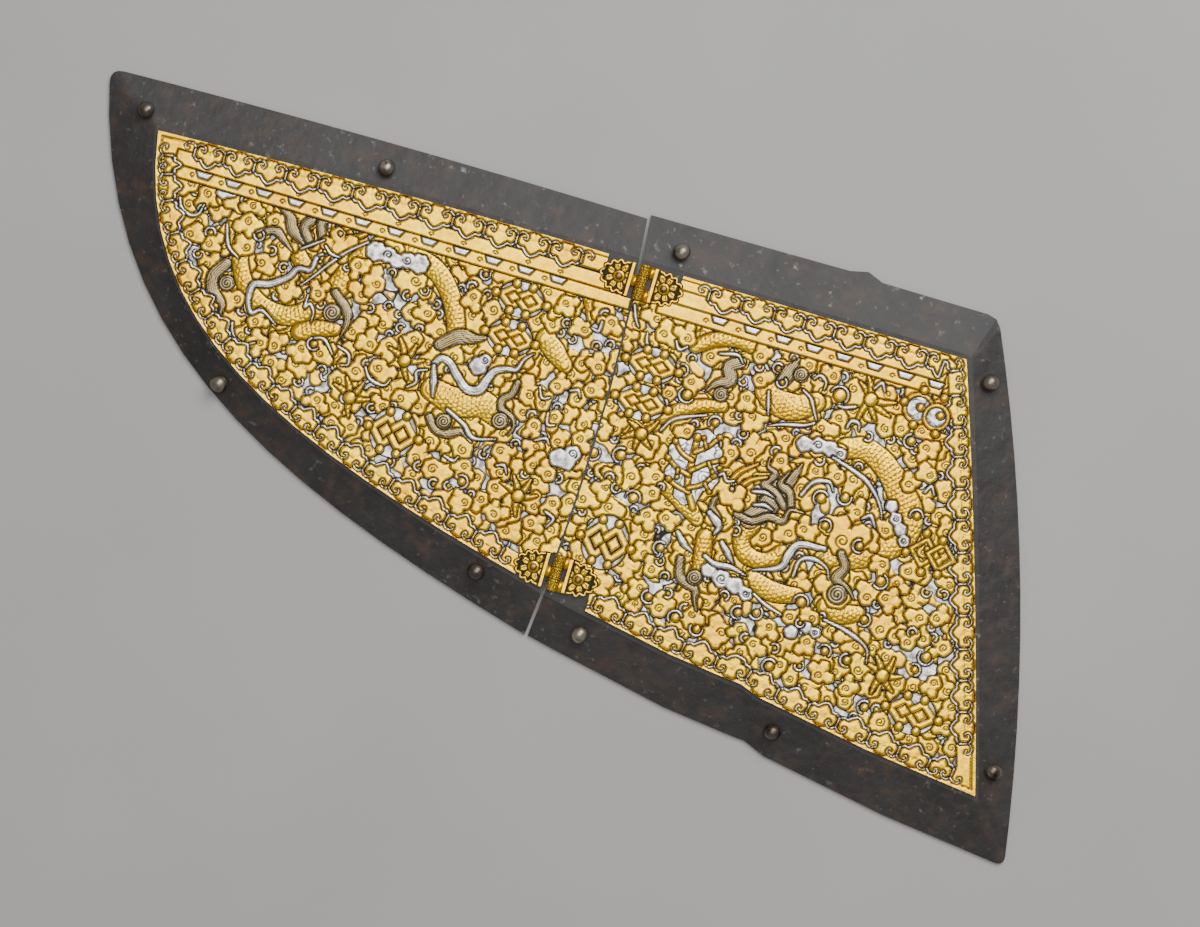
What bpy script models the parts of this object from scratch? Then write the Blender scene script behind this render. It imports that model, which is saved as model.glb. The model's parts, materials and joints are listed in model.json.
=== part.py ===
"""A pair of crinet plates: two iron plates from the side of a horse's neck armour, joined by two pin hinges.

They lie face up. Before the last placing, X = 0 is the hinge axis and Y = 0 is the middle between the hinges.
X runs along the crest towards the withers, Y runs up the seam to the crest, Z is out of the decorated face.
"""

import math

import bmesh
import bpy
from mathutils import Vector
from mathutils.bvhtree import BVHTree

# Outline of the plates, in metres
FORE_LENGTH = 0.2279
REAR_CREST_LENGTH = 0.1410
REAR_FOOT_LENGTH = 0.2050
CREST_HEIGHT = 0.0858
CREST_BULGE = 0.0014
FORE_DROOP = 0.0028
REAR_RISE = 0.0018
SEAM_DEPTH = 0.0875
REAR_DROP = 0.0350
REAR_BULGE = 0.0076
SEAM_GAP = 0.0013
SEAM_BOW = 0.0042
FORE_CORNER_RADIUS = 0.0060
REAR_CORNER_RADIUS = 0.0045
EDGE_WEAR = 0.0028

# Plate section
PLATE_THICKNESS = 0.0015
RIM_DROP = 0.0031
SEAT_GAP = 0.0003

# Bare margins, from the plate's edge to the panel's
CREST_MARGIN = 0.0182
LEAD_MARGIN = 0.0261
FOOT_MARGIN = 0.0195
REAR_CREST_MARGIN = 0.0080
REAR_FOOT_MARGIN = 0.0195
REAR_LOW_MARGIN = 0.0240
PANEL_DROOP = 0.0034
PANEL_SEAM_INSET = 0.0002
PANEL_REAR_BULGE = 0.0015
PANEL_LOW_BULGE = 0.0022
BED_EDGE = 0.0020

# Relief panels
PANEL_THICKNESS = 0.0010
BORDER_STEP = 0.0002
BORDER_DEPTH = 0.0092
BORDER_RISE = 0.0009
STRIP_PITCH = 0.0055
STRIP_DEPTH = 0.0044
STRIP_RISE = 0.0007
CLOUD_RADIUS = 0.0062
CLOUD_SWELL = 0.20
CLOUD_RISE = 0.0008
KNOT_RISE = 0.00075
KNOT_BAR = 0.0028
BODY_WIDTH = 0.0100
BODY_TAPER = 0.62
BODY_RISE = 0.0011
ROOT_DEPTH = 0.0003
FORE_CREST_HEADS = 14
LEAD_HEADS = 20
REAR_CREST_HEADS = 10
REAR_HEADS = 14
LOW_HEADS = 14

# Hinges
HINGE_SPACING = 0.1208
KNUCKLE_RADIUS = 0.0021
PIN_RADIUS = 0.00095
PIN_CLEARANCE = 0.0003
PIN_OVERHANG = 0.0006
LEAF_HEIGHT = 0.0142
LEAF_START = 0.0040
LEAF_BAR = 0.0017
LEAF_LENGTH = 0.0134
LEAF_THICKNESS = 0.0015
LEAF_SCALLOP = 0.0011
LEAF_SHOULDER = 0.7
TONGUE_EASE = 0.1
PETALS = 8
PETAL_STEPS = 32
PETAL_SWEEP = math.radians(110)
KNUCKLE_GAP = 0.0003
LEAF_CLEARANCE = 0.0004
LEAF_RIVET = 0.0093

# Studs and leaf rivets
STUD_RADIUS = 0.0035
STUD_HEIGHT = 0.0058
STUD_NECK = 0.0023
STUD_SHANK = 0.0012
STUD_TAIL = 0.0018
STUD_TAIL_THICKNESS = 0.0004
HEAD_WIDEST = 0.42
HEAD_THROAT = 0.15
RIVET_RADIUS = 0.0016
RIVET_NECK = 0.00145
RIVET_HEIGHT = 0.0013
RIVET_SHANK = 0.0007
RIVET_TAIL = 0.0013
SHANK_CLEARANCE = 0.0003

SIDES = 12
CLOUD_SIDES = 9
CURVE_STEPS = 16
EPSILON = 1e-5

# Heights that follow from the section
BED_TOP = RIM_DROP + PLATE_THICKNESS
SEAT = BED_TOP + SEAT_GAP
PANEL_TOP = SEAT + PANEL_THICKNESS
AXIS_HEIGHT = SEAT + KNUCKLE_RADIUS
BORE_RADIUS = PIN_RADIUS + PIN_CLEARANCE
KNUCKLE_LENGTH = (LEAF_HEIGHT - 2 * KNUCKLE_GAP) / 3
HINGES = (("upper", HINGE_SPACING / 2), ("lower", -HINGE_SPACING / 2))

# Handles of the leading curve: (share of its width, share of its height), from the fore corner
LEAD_PLATE = ((0.105, 0.600), (0.442, 0.808))
LEAD_PANEL = ((0.060, 0.575), (0.388, 0.783))

# Worn steps of the rear plate's edges: (share along the edge, share of EDGE_WEAR that it stands out)
CREST_WEAR = ((0.30, 0.18), (0.57, 0.36), (0.62, 0.96), (0.665, 0.04), (0.90, 0.00))
LOW_WEAR = ((0.05, 0.20), (0.29, 0.75), (0.42, 0.25), (0.455, 0.04), (0.50, 0.80), (0.75, 0.93))

# One ruyi head of the border's inner edge: (share of the head's width, share of BORDER_DEPTH)
HEAD = ((0.00, 0.34), (0.07, 0.62), (0.22, 0.74), (0.34, 0.78), (0.42, 0.96), (0.58, 0.96), (0.66, 0.78),
        (0.78, 0.74), (0.93, 0.62))

# One lobe of a leaf strip's upper edge: (share of the lobe's width, share of STRIP_DEPTH)
LOBE = ((0.04, 0.35), (0.30, 0.85), (0.55, 1.0), (0.75, 0.70), (0.96, 0.35))

# Leaf strips under the crest's border: (row, lobes, share of the crest where it starts, and where it ends)
FORE_STRIPS = ((0, 13, 0.02, 0.90), (1, 12, 0.06, 0.88))
REAR_STRIPS = ((0, 8, 0.12, 0.98), (1, 8, 0.14, 0.95))

# Studs: (side of the plate, share along that side, share across the margin from the rim to the bed)
FORE_STUDS = ((1, 0.330, 0.735), (0, 0.583, 0.646), (2, 0.411, 0.387), (2, 0.892, 0.708))
REAR_STUDS = ((4, 0.883, 0.642), (2, 0.991, 0.534), (0, 0.128, 0.602), (0, 0.701, 0.582), (2, 0.038, 0.608))

# Dragon bodies: (share across the panel from the seam, share down from its crest side), along each
FORE_BODIES = (
    ((0.561, 0.594), (0.563, 0.702), (0.523, 0.748), (0.471, 0.706)),
    ((0.432, 0.565), (0.387, 0.425), (0.332, 0.301), (0.267, 0.245), (0.198, 0.285), (0.152, 0.359),
     (0.136, 0.451)),
    ((0.144, 0.622), (0.084, 0.637), (0.045, 0.674)),
)
REAR_BODIES = (
    ((0.157, 0.259), (0.222, 0.213), (0.296, 0.180), (0.364, 0.172), (0.409, 0.188)),
    ((0.103, 0.472), (0.164, 0.398), (0.234, 0.356), (0.304, 0.327)),
    ((0.492, 0.286), (0.543, 0.299), (0.583, 0.325)),
    ((0.527, 0.384), (0.600, 0.351), (0.667, 0.352), (0.746, 0.395), (0.804, 0.450), (0.842, 0.521),
     (0.843, 0.595), (0.804, 0.668)),
    ((0.329, 0.770), (0.350, 0.692), (0.419, 0.621), (0.492, 0.597), (0.550, 0.623)),
    ((0.457, 0.831), (0.519, 0.812), (0.569, 0.781)),
)

# Clouds: (share across the panel, share down, share of CLOUD_RADIUS, turn in degrees)
FORE_CLOUDS = (
    (0.860, 0.488, 0.8, 20), (0.722, 0.440, 1.0, -30), (0.618, 0.438, 1.1, 10), (0.742, 0.760, 1.0, 70),
    (0.605, 0.850, 0.9, 40), (0.499, 0.321, 0.9, 0), (0.332, 0.521, 1.1, 20), (0.416, 0.752, 1.0, -20),
    (0.314, 0.785, 0.9, 60), (0.243, 0.443, 0.9, -40), (0.233, 0.646, 1.0, 30), (0.065, 0.226, 1.0, 0),
    (0.055, 0.386, 1.1, 50), (0.050, 0.548, 0.9, 20), (0.214, 0.837, 0.9, 0), (0.109, 0.818, 1.0, 30),
)
REAR_CLOUDS = (
    (0.190, 0.130, 0.9, 10), (0.185, 0.306, 1.0, -20), (0.386, 0.328, 1.0, 30), (0.358, 0.440, 0.9, 0),
    (0.532, 0.194, 1.0, 40), (0.696, 0.231, 1.0, -10), (0.803, 0.290, 1.0, 30), (0.905, 0.402, 0.9, 60),
    (0.689, 0.513, 1.2, 20), (0.510, 0.487, 1.0, -30), (0.249, 0.527, 1.0, 0), (0.132, 0.628, 1.0, 50),
    (0.658, 0.658, 1.1, 0), (0.240, 0.838, 1.0, 20), (0.670, 0.798, 1.0, -20), (0.534, 0.890, 1.0, 30),
    (0.846, 0.764, 0.9, 0), (0.709, 0.900, 0.9, 10), (0.383, 0.890, 0.9, 40),
)

# Knots: (share across the panel, share down, half width and half height in KNOT_BAR)
FORE_KNOTS = ((0.131, 0.194, 2.6, 2.2), (0.131, 0.733, 2.4, 2.4), (0.497, 0.549, 2.0, 2.0))
REAR_KNOTS = ((0.075, 0.365, 2.0, 3.0), (0.108, 0.755, 2.6, 2.6), (0.900, 0.217, 2.0, 2.0),
              (0.910, 0.555, 2.0, 2.0), (0.880, 0.860, 2.2, 2.2))


def clear_scene():
    for thing in list(bpy.data.objects):
        bpy.data.objects.remove(thing, do_unlink=True)


def new_collection(name):
    collection = bpy.data.collections.new(name)
    bpy.context.scene.collection.children.link(collection)
    return collection


def new_material(name, colour, metallic, roughness):
    material = bpy.data.materials.new(name)
    material.use_nodes = True
    shader = material.node_tree.nodes["Principled BSDF"]
    shader.inputs["Base Color"].default_value = (*colour, 1.0)
    shader.inputs["Metallic"].default_value = metallic
    shader.inputs["Roughness"].default_value = roughness
    return material


def add_object(name, mesh, parent, material=None, helper=False):
    """A mesh object under an empty. A helper is a cutter or a piece to join, left out of renders."""
    piece = bpy.data.objects.new(name, mesh)
    (HELPERS if helper else PARTS).objects.link(piece)
    piece.parent = parent
    piece.location = -parent.location if parent is FORE else Vector()
    if helper:
        piece.hide_render = True
        piece.display_type = "WIRE"
    if material:
        mesh.materials.append(material)
        piece.data.shade_smooth()
        piece.data.set_sharp_from_angle(angle=math.radians(35))
    return piece


def boolean(piece, other, operation):
    modifier = piece.modifiers.new(f"{operation.lower()} {other.name}", "BOOLEAN")
    modifier.operation = operation
    modifier.solver = "EXACT"
    modifier.use_self = True
    modifier.object = other


def bezier(start, first, second, end, steps):
    """Points of a cubic curve from start to end, whose two handles are first and second."""
    points = []
    for i in range(steps + 1):
        t = i / steps
        points.append(
            (1 - t) ** 3 * start + 3 * (1 - t) ** 2 * t * first + 3 * (1 - t) * t * t * second + t**3 * end
        )
    return points


def bulged(start, end, bulge, steps):
    """Points from start to end on a flat parabola that stands out by bulge to the right of the way."""
    along = end - start
    out = Vector((along.y, -along.x)).normalized()
    shares = [i / steps for i in range(steps + 1)]
    return [start + along * t + out * (bulge * 4 * t * (1 - t)) for t in shares]


def rounded(before, corner, after, radius, steps=4):
    """Points of an arc-like curve that cuts the corner radius away from it on both sides."""
    start = corner + (before - corner).normalized() * radius
    end = corner + (after - corner).normalized() * radius
    shares = [i / steps for i in range(steps + 1)]
    return [start * (1 - t) ** 2 + corner * (2 * t * (1 - t)) + end * t * t for t in shares]


def seam_x(y):
    """The seam bows towards the head: it leaves the hinge axis by SEAM_BOW at the crest."""
    return -SEAM_BOW * (y / CREST_HEIGHT) ** 2


def seam_points(low, high, side, inset):
    """Points up the seam's edge from low to high; side is -1 for the fore plate and 1 for the rear one."""
    steps = 8
    heights = [low + (high - low) * i / steps for i in range(steps + 1)]
    return [Vector((seam_x(y) + side * (SEAM_GAP / 2 + inset), y)) for y in heights]


def fore_sides(margin, edge, lead, inset, radius):
    """The fore outline in parts: the crest, the fore corner and the leading curve. margin is 1 at the panel's
    edge and 0 at the plate's; edge widens the panel's outline by that much."""
    crest = CREST_HEIGHT - margin * CREST_MARGIN + edge
    drop = FORE_DROOP + margin * (PANEL_DROOP - FORE_DROOP)
    corner = Vector((-FORE_LENGTH + margin * LEAD_MARGIN - edge, crest - drop))
    foot = -SEAM_DEPTH + margin * FOOT_MARGIN - edge
    start = seam_points(crest, crest, -1, inset)[0]
    end = seam_points(foot, foot, -1, inset)[0]
    span = end - corner
    first, second = (corner + Vector((span.x * x, span.y * y)) for x, y in lead)
    crest_line = bulged(start, corner, CREST_BULGE, 8)
    lead_line = bezier(corner, first, second, end, CURVE_STEPS)
    if not radius:
        return crest_line, lead_line
    arc = rounded(crest_line[-2], corner, lead_line[1], radius)
    return crest_line[:-1], arc, lead_line[1:]


def worn(start, end, table, wear):
    """Points from start to end that stand out to the right of the way by the table's shares of wear."""
    along = end - start
    out = Vector((along.y, -along.x)).normalized()
    return [start + along * share + out * (wear * height) for share, height in table]


def rear_sides(margin, edge, inset, wear, radius):
    """The rear outline in parts: the low edge, the rear foot corner, the rear edge and the crest."""
    crest = CREST_HEIGHT + (1 - margin) * REAR_RISE - margin * CREST_MARGIN + edge
    foot = -SEAM_DEPTH + margin * FOOT_MARGIN - edge
    low = Vector((
        REAR_FOOT_LENGTH - margin * REAR_FOOT_MARGIN + edge,
        -SEAM_DEPTH - REAR_DROP + margin * REAR_LOW_MARGIN - edge,
    ))
    high = Vector((REAR_CREST_LENGTH - margin * REAR_CREST_MARGIN + edge, crest))
    start = seam_points(foot, foot, 1, inset)[0]
    end = seam_points(crest, crest, 1, inset)[0]
    bulge = REAR_BULGE + margin * (PANEL_REAR_BULGE - REAR_BULGE)
    low_line = [start, *worn(start, low, LOW_WEAR, wear or PANEL_LOW_BULGE), low]
    rear_line = bulged(low, high, bulge, 12)
    crest_line = [high, *worn(high, end, [(1 - s, h) for s, h in reversed(CREST_WEAR)], wear), end]
    if not radius:
        return low_line, rear_line, crest_line
    foot_arc = rounded(low_line[-2], low, rear_line[1], radius)
    worn_arc = rounded(rear_line[-2], high, crest_line[1], radius, 2)
    return low_line[:-1], foot_arc, rear_line[1:-1], worn_arc, crest_line[1:]


def joined(sides):
    """One path from the sides, without the points that two sides share."""
    path = [sides[0][0]]
    for side in sides:
        path += [point for point in side if (point - path[-1]).length > EPSILON]
    return path


def closed_outline(sides, side, inset):
    """The whole outline: the path from seam to seam, and the seam's edge back, always anticlockwise."""
    path = joined(sides)
    seam = seam_points(path[-1].y, path[0].y, side, inset)
    return path + seam[1:-1]


def mesh_of(bm, name):
    bmesh.ops.recalc_face_normals(bm, faces=bm.faces)
    mesh = bpy.data.meshes.new(name)
    bm.to_mesh(mesh)
    bm.free()
    return mesh


def curve_mesh(name, curve):
    """A curve object's shape as a mesh, with its loose caps welded."""
    guide = bpy.data.objects.new(name, curve)
    bpy.context.scene.collection.objects.link(guide)
    evaluated = guide.evaluated_get(bpy.context.evaluated_depsgraph_get())
    mesh = bpy.data.meshes.new_from_object(evaluated)
    bpy.data.objects.remove(guide)
    bm = bmesh.new()
    bm.from_mesh(mesh)
    bmesh.ops.remove_doubles(bm, verts=bm.verts, dist=EPSILON)
    return mesh_of(bm, name)


def prism(name, outlines, bottom, top):
    """Flat outlines extruded from bottom to top; an outline inside another is a hole."""
    curve = bpy.data.curves.new(name, "CURVE")
    curve.dimensions = "2D"
    curve.fill_mode = "BOTH"
    curve.extrude = (top - bottom) / 2
    for outline in outlines:
        spline = curve.splines.new("POLY")
        spline.points.add(len(outline) - 1)
        spline.use_cyclic_u = True
        for point, place in zip(spline.points, outline):
            point.co = (place[0], place[1], 0, 1)
    mesh = curve_mesh(name, curve)
    for vertex in mesh.vertices:
        vertex.co.z += (top + bottom) / 2
    return mesh


def merged(name, meshes):
    """Several closed meshes as one mesh."""
    bm = bmesh.new()
    for mesh in meshes:
        bm.from_mesh(mesh)
    return mesh_of(bm, name)


def dished_plate(name, rim, bed, side):
    """A plate whose flat bed stands RIM_DROP above its rim: the margin between the two paths slopes, and the
    seam's edge closes it. The sheet is then given its thickness downwards."""
    bm = bmesh.new()
    rim_verts = [bm.verts.new((p.x, p.y, PLATE_THICKNESS)) for p in rim]
    bed_verts = [bm.verts.new((p.x, p.y, BED_TOP)) for p in bed]
    for i in range(len(rim) - 1):
        bm.faces.new((rim_verts[i], rim_verts[i + 1], bed_verts[i + 1], bed_verts[i]))
    seam = seam_points(bed[-1].y, bed[0].y, side, 0)[1:-1]
    bm.faces.new(bed_verts + [bm.verts.new((p.x, p.y, BED_TOP)) for p in seam])
    under = bmesh.ops.extrude_face_region(bm, geom=bm.faces[:])
    lower = [part for part in under["geom"] if isinstance(part, bmesh.types.BMVert)]
    bmesh.ops.translate(bm, verts=lower, vec=(0, 0, -PLATE_THICKNESS))
    return mesh_of(bm, name)


def along_path(path, share):
    """(point, way) at a share of the path's length."""
    lengths = [(b - a).length for a, b in zip(path, path[1:])]
    left = share * sum(lengths)
    for (a, b), length in zip(zip(path, path[1:]), lengths):
        if left <= length or b is path[-1]:
            return a + (b - a) * (left / length), (b - a).normalized()
        left -= length


def inside(path, share, depth):
    """The point depth inside the path, whose left side is the inside."""
    point, way = along_path(path, share)
    return point + Vector((-way.y, way.x)) * depth


def between(upper, lower, along, across):
    """The point at a share along two paths that run side by side, and a share across from upper to lower."""
    high, _ = along_path(upper, along)
    low, _ = along_path(lower, along)
    return high + (low - high) * across


def scallops(path, heads, start_corner, end_corner):
    """The border's inner edge along one side: a row of ruyi heads, kept clear of the panel's corners."""
    length = sum((b - a).length for a, b in zip(path, path[1:]))
    low = BORDER_DEPTH / length if start_corner else 0.0
    high = 1 - BORDER_DEPTH / length if end_corner else 1.0
    points = []
    for head in range(heads):
        for share, depth in HEAD:
            points.append(inside(path, low + (high - low) * (head + share) / heads, depth * BORDER_DEPTH))
    points.append(inside(path, high, HEAD[0][1] * BORDER_DEPTH))
    return points


def border(name, sides, heads):
    """The raised border: the panel's outline outside, rows of ruyi heads inside, open along the seam."""
    inner = []
    for number, (side, count) in enumerate(zip(sides, heads)):
        inner += scallops(side, count, number > 0, number < len(sides) - 1)
    return prism(name, [joined(sides) + inner[::-1]], PANEL_TOP - ROOT_DEPTH, PANEL_TOP + BORDER_RISE)


def leaf_strip(name, crest_line, row, lobes, start, end):
    """One raised strip under the crest's border: a straight foot with a row of low leaf lobes above it."""
    foot = BORDER_DEPTH + (row + 1) * STRIP_PITCH
    lower = [inside(crest_line, share, foot) for share in (start, end)]
    upper = []
    for lobe in range(lobes):
        for share, height in LOBE:
            place = start + (end - start) * (lobe + share) / lobes
            upper.append(inside(crest_line, place, foot - height * STRIP_DEPTH))
    return prism(name, [lower + upper[::-1]], PANEL_TOP - ROOT_DEPTH, PANEL_TOP + STRIP_RISE)


def cloud(name, centre, size, turn):
    """A three-lobed cloud: its radius swells three times round the centre."""
    outline = []
    for i in range(CLOUD_SIDES):
        angle = 2 * math.pi * i / CLOUD_SIDES
        radius = size * CLOUD_RADIUS * (1 - CLOUD_SWELL * (1 - math.cos(3 * angle)))
        way = Vector((math.cos(angle + math.radians(turn)), math.sin(angle + math.radians(turn))))
        outline.append(centre + way * radius)
    return prism(name, [outline], PANEL_TOP - ROOT_DEPTH, PANEL_TOP + CLOUD_RISE)


def knot(name, centre, half_width, half_height):
    """A knot ornament: a lozenge ring whose slanting bars are about KNOT_BAR wide."""
    ring = []
    for shrink in (0.0, math.sqrt(2)):
        wide, high = (half_width - shrink) * KNOT_BAR, (half_height - shrink) * KNOT_BAR
        ring.append([centre + Vector(step) for step in ((wide, 0), (0, high), (-wide, 0), (0, -high))])
    return prism(name, ring, PANEL_TOP - ROOT_DEPTH, PANEL_TOP + KNOT_RISE)


def dragon_body(name, places):
    """A rounded rib along a smooth path: a tube flattened to BODY_RISE above the ground."""
    curve = bpy.data.curves.new(name, "CURVE")
    curve.dimensions = "3D"
    curve.bevel_depth = BODY_WIDTH / 2
    curve.bevel_resolution = 2
    curve.use_fill_caps = True
    spline = curve.splines.new("POLY")
    spline.points.add(len(places) - 1)
    for number, (point, place) in enumerate(zip(spline.points, places)):
        point.co = (place.x, place.y, 0, 1)
        point.radius = BODY_TAPER if number in (0, len(places) - 1) else 1.0
    mesh = curve_mesh(name, curve)
    for vertex in mesh.vertices:
        depth = BODY_RISE if vertex.co.z > 0 else 2 * ROOT_DEPTH
        vertex.co.z = PANEL_TOP + vertex.co.z / (BODY_WIDTH / 2) * depth
    return mesh


def leaf_outline(side, middle, grow=0.0):
    """The hinge leaf seen from above: a bar beside the knuckles, then a flower that runs out to a point.
    side is -1 for the fore leaf. With grow it is the panel's cut-out: wider by that much, run past the seam,
    and open towards the nearer edge of the panel as far out as the flower's shoulder."""
    half = LEAF_HEIGHT / 2 + grow
    tip = LEAF_START + LEAF_LENGTH - LEAF_RIVET + grow
    start = -LEAF_START if grow else LEAF_START
    bar_end = LEAF_START + LEAF_BAR + grow
    flower = []
    for i in range(PETAL_STEPS + 1):
        angle = PETAL_SWEEP * (2 * i / PETAL_STEPS - 1)
        reach = half + (tip - half) * max(0.0, math.cos(angle)) ** 6
        radius = reach - LEAF_SCALLOP * (1 - abs(math.cos(PETALS / 2 * math.pi * angle / PETAL_SWEEP)))
        flower.append(Vector((LEAF_RIVET + radius * math.cos(angle), radius * math.sin(angle))))
    points = [Vector((start, -half)), Vector((bar_end, -half))]
    points += flower + [Vector((bar_end, half)), Vector((start, half))]
    if grow:
        shoulder = LEAF_RIVET + half * LEAF_SHOULDER
        points = [p for p in points if p.y < 0 or p.x > shoulder]
        points += [Vector((points[-1].x, half + CREST_MARGIN)), Vector((start, half + CREST_MARGIN))]
    flip = 1 if middle > 0 else -1
    return [Vector((side * p.x, middle + flip * p.y)) for p in points]


def knuckle(name, side, low, high):
    """A knuckle and its tongue: a ring round the pin with a flat tongue along the seat, extruded along Y."""
    ring = []
    tongue_low = -KNUCKLE_RADIUS + LEAF_THICKNESS * TONGUE_EASE
    tongue_high = -KNUCKLE_RADIUS + LEAF_THICKNESS * (1 - TONGUE_EASE)
    reach = LEAF_START + LEAF_BAR / 2
    first = math.asin(tongue_high / KNUCKLE_RADIUS)
    last = math.asin(tongue_low / KNUCKLE_RADIUS)
    steps = SIDES + 2
    turn = 2 * math.pi - (first - last)
    for i in range(steps + 1):
        angle = first + turn * i / steps
        ring.append((KNUCKLE_RADIUS * math.cos(angle), KNUCKLE_RADIUS * math.sin(angle)))
    ring += [(reach, tongue_low), (reach, tongue_high)]
    bore = [
        (BORE_RADIUS * math.cos(2 * math.pi * i / SIDES), BORE_RADIUS * math.sin(2 * math.pi * i / SIDES))
        for i in range(SIDES)
    ]
    mesh = prism(name, [ring, bore], -high, -low)
    for vertex in mesh.vertices:
        across, up, back = vertex.co
        vertex.co = (side * across, -back, AXIS_HEIGHT + up)
    bm = bmesh.new()
    bm.from_mesh(mesh)
    return mesh_of(bm, name)


def cylinder(name, radius, low, high, place=Vector(), tilt=None):
    bm = bmesh.new()
    bmesh.ops.create_cone(bm, cap_ends=True, segments=SIDES, radius1=radius, radius2=radius, depth=high - low)
    bmesh.ops.translate(bm, verts=bm.verts, vec=(0, 0, (high + low) / 2))
    if tilt:
        bmesh.ops.rotate(bm, verts=bm.verts, matrix=tilt.to_matrix())
    bmesh.ops.translate(bm, verts=bm.verts, vec=place)
    return mesh_of(bm, name)


def turned(name, profile, parent, material, place, tilt=None):
    """A piece turned round its own Z: the profile runs down its outer side, from the top to the bottom."""
    bm = bmesh.new()
    verts = [bm.verts.new((radius, 0, height)) for radius, height in profile]
    for a, b in zip(verts, verts[1:]):
        bm.edges.new((a, b))
    mesh = bpy.data.meshes.new(name)
    bm.to_mesh(mesh)
    bm.free()
    piece = add_object(name, mesh, parent, material)
    piece.location = piece.location + place
    if tilt:
        piece.rotation_euler = tilt.to_euler()
    screw = piece.modifiers.new("turned", "SCREW")
    screw.steps = SIDES
    screw.render_steps = SIDES
    screw.use_merge_vertices = True
    screw.merge_threshold = EPSILON
    screw.use_smooth_shade = True
    return piece


def headed_profile(head, height, neck, shank, tail, tail_thickness, grip):
    """A domed head on a shank, with a flat tail under the grip: (radius, height) from the top to the bottom.
    The head is widest at HEAD_WIDEST of its height and draws in to the neck below that, past a throat."""
    seat = SEAT_GAP
    wide = seat + height * HEAD_WIDEST
    points = [(0.0, seat + height)]
    for degrees in (55, 20):
        angle = math.radians(degrees)
        points.append((head * math.cos(angle), wide + (height + seat - wide) * math.sin(angle)))
    points += [(head, wide), ((head + neck) / 2, seat + height * HEAD_THROAT), (neck, seat)]
    points += [(shank, seat), (shank, -grip - seat), (tail, -grip - seat)]
    points += [(tail, -grip - seat - tail_thickness), (0.0, -grip - seat - tail_thickness)]
    return points


def surface_frame(tree, point):
    """(place, tilt) of the plate's upper face under a point."""
    place, normal, _, _ = tree.ray_cast(Vector((point.x, point.y, 1)), Vector((0, 0, -1)))
    return place, Vector((0, 0, 1)).rotation_difference(normal)


def studs(prefix, plate, parent, places, rim_sides, bed_sides):
    """The studs of one plate, square to its sloping margin. It gives back the holes that they need."""
    bm = bmesh.new()
    bm.from_mesh(plate.data)
    tree = BVHTree.FromBMesh(bm)
    bm.free()
    profile = headed_profile(STUD_RADIUS, STUD_HEIGHT, STUD_NECK, STUD_SHANK, STUD_TAIL, STUD_TAIL_THICKNESS,
                             PLATE_THICKNESS)
    holes = []
    for number, (side, along, across) in enumerate(places, 1):
        place, tilt = surface_frame(tree, between(rim_sides[side], bed_sides[side], along, across))
        turned(f"{prefix}_stud_{number}", profile, parent, IRON_STUD, place, tilt)
        holes.append(cylinder("hole", STUD_SHANK + SHANK_CLEARANCE, -2 * BED_TOP, BED_TOP, place, tilt))
    return holes


def cut_for_leaves(piece, side, parent, grow):
    """Cuts the room of both hinge leaves, wider by grow, out of a panel or a piece of its relief."""
    low, high = SEAT - PANEL_THICKNESS, PANEL_TOP + 3 * PANEL_THICKNESS
    cuts = [prism("cut", [leaf_outline(side, middle, grow)], low, high) for _, middle in HINGES]
    boolean(piece, add_object(f"{piece.name}_cuts", merged("cuts", cuts), parent, helper=True), "DIFFERENCE")


def build_side(prefix, side, parent, plate_sides, bed_sides, panel_sides, relief, stud_places):
    """One plate with its relief panel, studs, hinge leaves and leaf rivets."""
    plate = add_object(f"{prefix}_plate", dished_plate("plate", joined(plate_sides), joined(bed_sides), side),
                       parent, IRON)
    panel_outline = closed_outline(panel_sides, side, PANEL_SEAM_INSET)
    panel = add_object(f"{prefix}_panel", prism("panel", [panel_outline], SEAT, PANEL_TOP), parent, GILT)
    cut_for_leaves(panel, side, parent, LEAF_CLEARANCE)
    for name, meshes in relief.items():
        other = add_object(f"{prefix}_{name}", merged(name, meshes), parent, helper=True)
        cut_for_leaves(other, side, parent, LEAF_CLEARANCE + BORDER_STEP)
        boolean(panel, other, "UNION")
    rivet_holes = [build_leaf(f"{level}_{prefix}", side, parent, middle) for level, middle in HINGES]
    stud_holes = studs(prefix, plate, parent, stud_places, plate_sides, bed_sides)
    holes = merged("holes", stud_holes + rivet_holes)
    boolean(plate, add_object(f"{prefix}_plate_holes", holes, parent, helper=True), "DIFFERENCE")


def build_leaf(name, side, parent, middle):
    """One hinge leaf with its knuckles and its rivet. It gives back the hole that the rivet needs."""
    flat = prism("leaf", [leaf_outline(side, middle)], SEAT, SEAT + LEAF_THICKNESS)
    leaf = add_object(f"{name}_leaf", flat, parent, GILT_LEAF)
    step = KNUCKLE_LENGTH + KNUCKLE_GAP
    places = (middle,) if side < 0 else (middle - step, middle + step)
    rings = [knuckle("knuckle", side, y - KNUCKLE_LENGTH / 2, y + KNUCKLE_LENGTH / 2) for y in places]
    boolean(leaf, add_object(f"{name}_knuckles", merged("knuckles", rings), parent, helper=True), "UNION")
    place = Vector((side * LEAF_RIVET, middle, SEAT + LEAF_THICKNESS))
    grip = place.z - BED_TOP + PLATE_THICKNESS
    hole = cylinder("hole", RIVET_SHANK + SHANK_CLEARANCE, -2 * BED_TOP, BED_TOP, place)
    boolean(leaf, add_object(f"{name}_leaf_hole", hole, parent, helper=True), "DIFFERENCE")
    profile = headed_profile(RIVET_RADIUS, RIVET_HEIGHT, RIVET_NECK, RIVET_SHANK, RIVET_TAIL,
                             STUD_TAIL_THICKNESS, grip)
    turned(f"{name}_rivet", profile, parent, BRASS, place)
    return hole


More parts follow.
